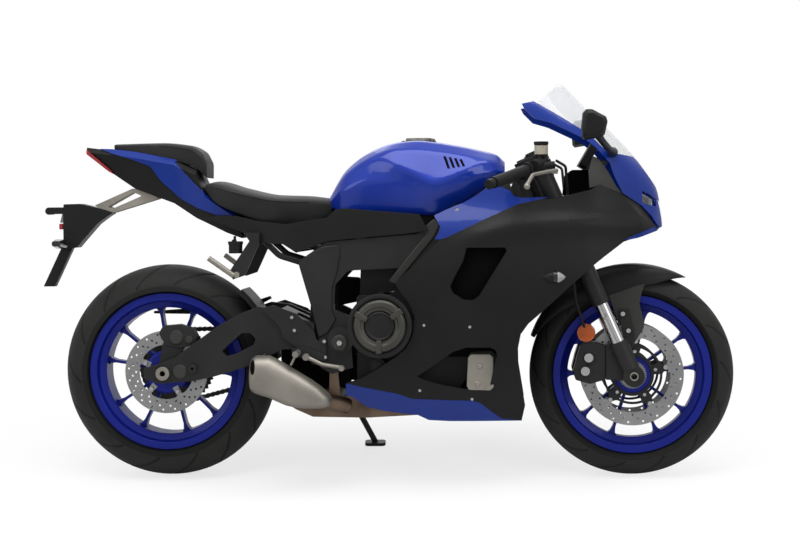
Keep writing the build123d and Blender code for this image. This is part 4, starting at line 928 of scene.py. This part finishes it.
def makeRearDisc():
    lugs = [plate(rearCarrier["lug"], *rearCarrier["lugY"], rearAxle, radians(turn)) for turn in armTurns]
    ring = joinShapes([discRing(discs["rear"], 1, rearAxle)] + lugs)
    addPiece("rearDisc", ring, "disc_steel", "rear_disc", edge=0.5)
    addPiece("rearDiscHub", turned(rearCarrier["hub"], rearAxle, 72), "wheel_blue", "rear_disc", edge=1)
    radius, y = rearCarrier["boltRadius"], rearCarrier["boltY"]
    heads = [headAt(rearAxle, radius, turn, y, *rearCarrier["bolt"]) for turn in armTurns]
    addPiece("rearDiscBolts", joinShapes(heads), "disc_steel", "rear_disc", look="bolt_steel")


makeFrontDiscs()
makeRearDisc()
print("discs made")


def cadTree(node):
    shape = bmesh.new()
    shape.from_mesh(frame["nodes"][node].data)
    shape.transform((bikeToRow @ metres).inverted())
    tree = BVHTree.FromBMesh(shape)
    shape.free()
    return tree


trees = {node: cadTree(node) for node in frame["nodes"] if bodyOf[node] in ("chassis", "steering")}


# The first CAD node that a line across the bike meets, and where.
def firstHit(x, z, side, only=()):
    best = None
    for node, tree in trees.items():
        if only and node not in only:
            continue
        hit = tree.ray_cast(Vector((x, side * farOut, z)), Vector((0, -side, 0)))[0]
        if hit and (best is None or side * hit.y > side * best[1].y):
            best = (node, hit)
    return best


def faceAt(x, z, side, *only):
    return firstHit(x, z, side, only)[1].y


# Screws and pins: look, radius, height, then places in side view.
fasteners = [
    ("bolt_steel", 7, 3, [(178, 785)]),
    ("bolt_steel", 8, 5, [(656, 479), (672, 430)]),
    ("bolt_steel", 16, 6, [(556, 352), (546, 313)]),
    ("bolt_steel", 6, 4, [(-304, 478), (-297, 440), (-288, 500), (-210, 408), (-208, 362), (-222, 325)]),
    ("bolt_steel", 7, 5, [(-298, 614), (-252, 560), (-130, 452), (-134, 438)]),
    ("trim_grey", 22, 6, [(-650, 418), (-635, 320)]),
    ("trim_grey", 12, 6, [(-612, 412)]),
    ("frame_black", 35, 5, [(-685, 315)]),
    ("trim_grey", 24, 5, [(-166, 403)]),
    ("bolt_steel", 9, 9, [(-166, 403)]),
]
# Nothing is fastened this near the middle.
middleGap = 20


def makeFasteners():
    groups = {("bolt_steel", "chassis"): [
        boltHead(Vector((x, side * (flankHalf(x, z) + 1), z)), *fairing["screwSize"], side)
        for x, z in fairing["screws"] for side, name in sides]}
    for look, radius, height, places in fasteners:
        for side, name in sides:
            for x, z in places:
                found = firstHit(x, z, side)
                if found and abs(found[1].y) > middleGap:
                    place = Vector((x, found[1].y + side * (height / 2 - 1), z))
                    head = boltHead(place, radius, height, side)
                    groups.setdefault((look, bodyOf[found[0]]), []).append(head)
    for (look, body), heads in groups.items():
        addPiece("fasteners_%s_%s" % (look, body), joinShapes(heads), "frame_black", look=look, body=body)


makeFasteners()

# Clutch cover: profiles of (y, radius), and one rib's outline with its turns.
clutch = {
    "middle": (-44, 456), "turns": (35, 152, 268),
    "rib": [(40, -7), (78, -9), (78, 9), (40, 7)], "ribY": (-16, 2),
    "rim": [(4, 92), (-3, 92), (-6, 86), (-6, 80), (-2, 76), (4, 76)],
    "dome": [(4, 76), (-4, 76), (-11, 70), (-13, 60), (-13, 56), (-8, 52), (-8, 44), (4, 44)],
    "cap": [(4, 0.02), (-9, 0.02), (-9, 34), (-12, 38), (-9, 42), (4, 42)],
}


def makeClutchCover():
    x, z = clutch["middle"]
    at = Vector((x, faceAt(x, z, -1, "engine_covers"), z))
    rim, dome = (turned(clutch[key], at, 96) for key in ("rim", "dome"))
    addPiece("clutchRim", joinShapes([rim, turned(clutch["cap"], at, 72)]), "engine_grey", edge=1)
    ribs = [plate(clutch["rib"], *clutch["ribY"], at, radians(turn)) for turn in clutch["turns"]]
    addPiece("clutchDome", joinShapes([dome] + ribs), "engine_grey", edge=2, look="cover_bronze")


makeClutchCover()

cooler = {"outline": [(208, 268), (270, 266), (280, 276), (280, 362), (270, 372), (214, 372), (206, 362),
                      (202, 280)],
          "bumps": [(240, 336), (233, 286)], "bump": (9, 5), "thickness": 12, "probe": (245, 320)}


def makeCoolerCap():
    y = faceAt(*cooler["probe"], -1, "radiator", "engine_covers", "engine_block", "frame_right")
    near = y - cooler["thickness"]
    bumps = [boltHead(Vector((x, near - 1, z)), *cooler["bump"]) for x, z in cooler["bumps"]]
    addPiece("coolerCap", joinShapes([plate(cooler["outline"], near, y + 2)] + bumps), "bare_alloy", edge=3)


makeCoolerCap()


# Round bar through points, the radius changing along it.
def tubeAlong(points, radii, around=16, steps=40):
    keys = lengthsAlong(points)
    shape = bmesh.new()
    rings = []
    for step in range(steps + 1):
        at = keys[-1] * step / steps
        here = Vector(through(keys, points, at))
        near = Vector(through(keys, points, max(at - 1, 0)))
        ahead = Vector(through(keys, points, min(at + 1, keys[-1])))
        radius = through(keys, [(value,) for value in radii], at)[0]
        turn = (ahead - near).to_track_quat("Z", "Y").to_matrix().to_4x4()
        ring = bmesh.ops.create_circle(shape, cap_ends=step in (0, steps), segments=around, radius=radius,
                                       matrix=Matrix.Translation(here) @ turn)["verts"]
        rings.append(ring)
    for here, ahead in zip(rings, rings[1:]):
        loops = [edge for edge in shape.edges if (edge.verts[0] in here and edge.verts[1] in here)
                 or (edge.verts[0] in ahead and edge.verts[1] in ahead)]
        bmesh.ops.bridge_loops(shape, edges=loops)
    bmesh.ops.recalc_face_normals(shape, faces=shape.faces)
    return shape


# Front reflectors: the lens is a profile of (y, radius), on a stay.
reflector = {"middle": (549, 425), "probe": (556, 372), "proud": 3,
             "lens": [(4, 0.02), (-3, 0.02), (-4, 22), (-2, 26), (4, 27)],
             "stay": [(540, 372), (564, 372), (562, 420), (540, 420)]}


def makeReflector():
    x, z = reflector["middle"]
    y = faceAt(*reflector["probe"], -1, "front_calipers", "fork_feet", "fork_tubes") - reflector["proud"]
    lens = turned(reflector["lens"], Vector((x, y, z)), 48)
    addBothSides("reflector", lens, "indicator_lens", edge=0.6, look="reflector_orange", body="steering")
    stay = plate(reflector["stay"], y + 4, y + 8)
    addBothSides("reflectorStay", stay, "frame_black", edge=1, body="steering")


makeReflector()

# Front turn lamps, a smoked tail behind a clear nose, each as (x, radius) from the rear.
turnLamp = {"level": 592, "probe": (458, 588), "sunk": 10,
            "Body": [(413, 1), (425, 8), (439, 14.5), (452, 17)],
            "Lens": [(452, 17), (466, 15), (478, 9), (486, 1)]}


def makeTurnLamps():
    for side, name in sides:
        y = faceAt(*turnLamp["probe"], side, "indicators") - side * turnLamp["sunk"]
        for label, slot in (("Body", "panel_black"), ("Lens", "indicator_lens")):
            along, radii = zip(*turnLamp[label])
            shape = tubeAlong([(x, y, turnLamp["level"]) for x in along], radii, 28, 20)
            addPiece("turnLamp" + label + name, shape, slot)


makeTurnLamps()

# Silencer: x, top and bottom of each section, and its depth as a share of the middle's.
silencerRows = [
    (-422, 322, 286, 0.5), (-420, 346, 273, 0.74), (-413, 364, 265, 0.88), (-400, 371, 259, 0.96),
    (-368, 371, 249, 1), (-350, 364, 241, 1), (-332, 354, 233, 1), (-310, 341, 225, 1),
    (-264, 313, 218, 0.98), (-225, 287, 218, 0.92), (-205, 270, 221, 0.82), (-192, 257, 228, 0.6),
    (-187, 248, 236, 0.3),
]
silencer = {"probe": (-320, 290), "corner": 0.8}
outlet = {"x": -409, "z": 340, "halfWidth": 7, "halfHeight": 21}
silencerBand = [(-385, 374), (-382, 374), (-384, 250), (-387, 250)]


def squared(value):
    return abs(value) ** silencer["corner"] * (1 if value > 0 else -1)


def makeSilencer():
    outer, inner = (faceAt(*silencer["probe"], side, "silencer") for side, name in sides)
    middle, half = (outer + inner) / 2, abs(inner - outer) / 2
    keys = [row[0] for row in silencerRows]

    def place(u, v):
        x = keys[0] + (keys[-1] - keys[0]) * (0.5 - 0.5 * cos(pi * v))
        top, bottom, depth = through(keys, [row[1:] for row in silencerRows], x)
        across, up = squared(cos(2 * pi * u)), squared(sin(2 * pi * u))
        return Vector((x, middle + half * depth * across, (top + bottom) / 2 + (top - bottom) / 2 * up))

    shape = mappedGrid(72, 90, place, closed=True, capped=True)
    tree = BVHTree.FromBMesh(shape)
    addPiece("silencerSkin", shape, "bare_alloy", "silencer")
    # The outlet is a dark oval laid on the skin, in the painted-shade black: painted shade for the opening.
    hole = [(outlet["x"] + outlet["halfWidth"] * x, outlet["z"] + outlet["halfHeight"] * z)
            for x, z in ringPoints(1, 24)]
    addPiece("silencerOutlet", laidOn(hole, tree, 0.6, 3), "panel_black", wall=1, look="shadow_black")
    addPiece("silencerBand", laidOn(silencerBand, tree, 0.4, 3), "bare_alloy", wall=0.8)


makeSilencer()

# Dark pieces inside the bike, between the frame plates: outline, then how far each side of the middle.
# They stand for the parts there, and their painted-shade black also paints the shade that falls between those
# parts.
insideParts = {
    "throttleBodies": ([(-178, 505), (-178, 590), (-120, 586), (-108, 560), (-104, 520)], 42),
    "linkageCover": ([(-352, 340), (-352, 376), (-330, 386), (-250, 384), (-192, 334), (-192, 250),
                      (-236, 250), (-300, 296)], 30),
    "sumpFront": ([(-146, 358), (-108, 358), (-108, 284), (-146, 284)], 42),
    "airDuct": ([(-420, 742), (-300, 664), (-160, 684), (60, 712), (60, 738), (-160, 712), (-290, 700)], 62),
    "seatFiller": ([(-236, 772), (-236, 800), (-150, 808), (-140, 780)], 40),
    "dashCover": ([(486, 826), (492, 884), (512, 900), (560, 900), (586, 884), (586, 830)], 38),
}
# Panels behind the bodywork's skin: outline, how far behind it, look.
innerPanels = {
    "cheek": ([(612, 850), (640, 846), (671, 822), (700, 800), (729, 772), (749, 738), (719, 745), (686, 782),
               (657, 806), (620, 836)], 9, "trim_grey"),
    # ventTop is a sheet in the painted-shade black: painted shade at the top of the lower vent.
    "ventTop": ([(150, 394), (290, 394), (290, 362), (150, 362)], 46, "shadow_black"),
    "innerPanel": ([(570, 938), (590, 925), (614, 890), (636, 850), (655, 828), (588, 853), (558, 846),
                    (556, 895)], 6, "trim_grey"),
}
skinTop = 872
# Plates on the frame: outline, where the frame is touched, how proud they stand, look.
framePlates = {
    "frameRail": ([(111, 761), (126, 742), (111, 708), (-2, 571), (-22, 581), (53, 675), (87, 713),
                   (82, 737)], (60, 665), 4, "trim_grey"),
    "pivotPlate": ([(-284, 632), (-254, 660), (-211, 684), (-166, 687), (-163, 660), (-171, 612), (-186, 564),
                    (-188, 500), (-176, 470), (-200, 432), (-228, 418), (-250, 514), (-272, 590)],
                   (-215, 600), 5, "frame_black"),
}
plateSunk = 2
# Lamps at the tail: outline, half width, slot.
tailLamps = {
    "plateLamp": ([(-1014, 757), (-1006, 787), (-992, 787), (-992, 757)], 22, "lamp_clear"),
    "rearReflector": ([(-1016, 737), (-1004, 737), (-1004, 754), (-1016, 754)], 24, "lamp_red"),
}
noseLip = {"outline": [(748, 731), (762, 726), (758, 720), (700, 701), (657, 693), (671, 702)], "proud": 2}


# How far out a panel lies behind the skin; above skinTop it leans inwards.
def halfBehind(x, z, behind):
    return flankHalf(x, min(z, skinTop)) - behind - max(z - skinTop, 0) / 3


def addInnerPanel(name):
    outline, behind, look = innerPanels[name]
    panel = sidePanel([outline], lambda x, z: halfBehind(x, z, behind))
    addBothSides(name, panel, "panel_black", wall=3, look=look)


def makeTrim():
    for name, (outline, half) in insideParts.items():
        addPiece(name, plate(outline, -half, half), "frame_black", edge=4, look="shadow_black")
    addInnerPanel("cheek")
    addInnerPanel("ventTop")
    for name, (outline, half, slot) in tailLamps.items():
        addPiece(name, plate(outline, -half, half), slot, edge=2)
    for name, (outline, probe, proud, look) in framePlates.items():
        for side, sideName in sides:
            y = faceAt(*probe, side, "frame_right", "frame_left")
            shape = plate(outline, y + side * proud, y - side * plateSunk)
            addPiece(name + sideName, shape, "frame_black", edge=3, look=look)
    addInnerPanel("innerPanel")
    lip = sidePanel([noseLip["outline"]], lambda x, z: flankHalf(x, z) + noseLip["proud"])
    addBothSides("noseLip", lip, "panel_blue", wall=4)


makeTrim()

# The front fender: angle from straight up, crown radius, side edge radius, half width.
fenderRows = [
    (-69, 316, 306, 56), (-55, 318, 288, 62), (-35, 320, 262, 68), (-17, 322, 242, 70),
    (0, 324, 254, 69), (12, 325, 270, 64), (20, 325, 292, 54), (26, 325, 312, 34), (29.6, 325, 323, 7),
]
fender = {"droop": 3.2, "round": 1.6, "probe": (670, 455), "armThickness": 5}
fenderArm = [(614, 533), (643, 541), (686, 557), (720, 565), (710, 533), (705, 509), (719, 452), (717, 437),
             (691, 394), (676, 418), (657, 437), (638, 466), (623, 509)]


def makeFender():
    angles = [row[0] for row in fenderRows]

    def place(u, v):
        angle = angles[0] + (angles[-1] - angles[0]) * u
        crown, edge, half = through(angles, [row[1:] for row in fenderRows], angle)
        across = 2 * v - 1
        radius = crown - (crown - edge) * abs(across) ** fender["droop"]
        y = half * (1 - (1 - abs(across)) ** fender["round"]) * (1 if across > 0 else -1)
        return frontAxle + Vector((radius * sin(radians(angle)), y, radius * cos(radians(angle))))

    shape = mappedGrid(70, 40, place)
    turnOutward(shape, Vector((0, 0, 1)))
    addPiece("frontFender", shape, "panel_black", "front_fender", wall=3, edge=0.8)
    y = faceAt(*fender["probe"], -1, "front_fender")
    arm = plate(fenderArm, y, y + fender["armThickness"])
    addBothSides("fenderArm", arm, "panel_black", "front_fender", edge=1.5, look="trim_grey")


makeFender()

# Mirror: side outline, then across the bike each section's y and scale, and the arm's points and radii.
mirror = {"outline": [(531, 1052), (540, 1062), (556, 1062), (596, 1040), (600, 1026), (592, 990), (584, 984),
                      (536, 976), (529, 984), (527, 1010)],
          "middle": (560, 1019), "sections": ((-372, 0.72), (-358, 0.96), (-312, 1.0), (-292, 0.8)),
          "arm": [(572, -320, 992), (590, -280, 972), (612, -190, 955), (628, -112, 948)],
          "armRadii": [12, 10, 10, 15]}


def makeMirrors():
    shape = bmesh.new()
    middleX, middleZ = mirror["middle"]
    for y, scale in mirror["sections"]:
        for x, z in mirror["outline"]:
            shape.verts.new((middleX + (x - middleX) * scale, y, middleZ + (z - middleZ) * scale))
    wrapped = bmesh.ops.convex_hull(shape, input=shape.verts)
    bmesh.ops.delete(shape, geom=wrapped["geom_interior"] + wrapped["geom_unused"], context="VERTS")
    bmesh.ops.dissolve_limit(shape, angle_limit=radians(1), verts=shape.verts, edges=shape.edges)
    arm = tubeAlong(mirror["arm"], mirror["armRadii"])
    addBothSides("mirror", joinShapes([shape, arm]), "panel_black", "mirrors", edge=5, angle=20)


makeMirrors()

# A pale sleeve on the front brake's fluid pot: its profile is (height, radius).
bottle = {"place": (420, -164, 0), "wall": [(942, 19.7), (968, 19.7), (968, 16.7), (942, 16.7)]}


def makeBottle():
    ring = turned(bottle["wall"], Vector((0, 0, 0)), 48)
    ring.transform(Matrix.Translation(bottle["place"]) @ Matrix.Rotation(pi / 2, 4, "X"))
    addPiece("frontBottle", ring, "panel_black", edge=0.8, look="fluid_bottle", body="steering")


makeBottle()

seam = {"radius": 1.6, "proud": 0.5}


# Seams along the edges of both seats.
def makeSeams():
    for name, rows in (("rider", riderRows), ("pillion", pillionRows)):
        points = [(row[0], -(row[4] + seam["proud"]), row[3]) for row in rows[1:-1]]
        addBothSides(name + "Seam", tubeAlong(points, [seam["radius"]] * len(points), 8, 60), "seat_cover")


makeSeams()
print("small pieces made")

# Indicator lenses are clear ahead of clearFrom, on the front pair, and smoked behind it.
clearFrom = Vector((0.463, -0.2, 0.59))
smoke = (0.006, 0.006, 0.006, 1)


def smokeIndicators():
    shader = finish("indicator_lens").node_tree.nodes["Principled BSDF"]
    nodes = shader.id_data.nodes
    along = addNode(nodes, "SeparateXYZ", {0: addNode(nodes, "TexCoord", output="Object")})
    smoked = addNode(nodes, "Math", {0: along, 1: (bikeToRow @ clearFrom).x}, operation="LESS_THAN")
    tint(shader, smoked, smoke)


smokeIndicators()
for node in sorted(frame["nodes"]):
    if node not in replacedNodes:
        dressNode(node)
print("nodes dressed")

bpy.context.scene.view_settings.view_transform = "Standard"
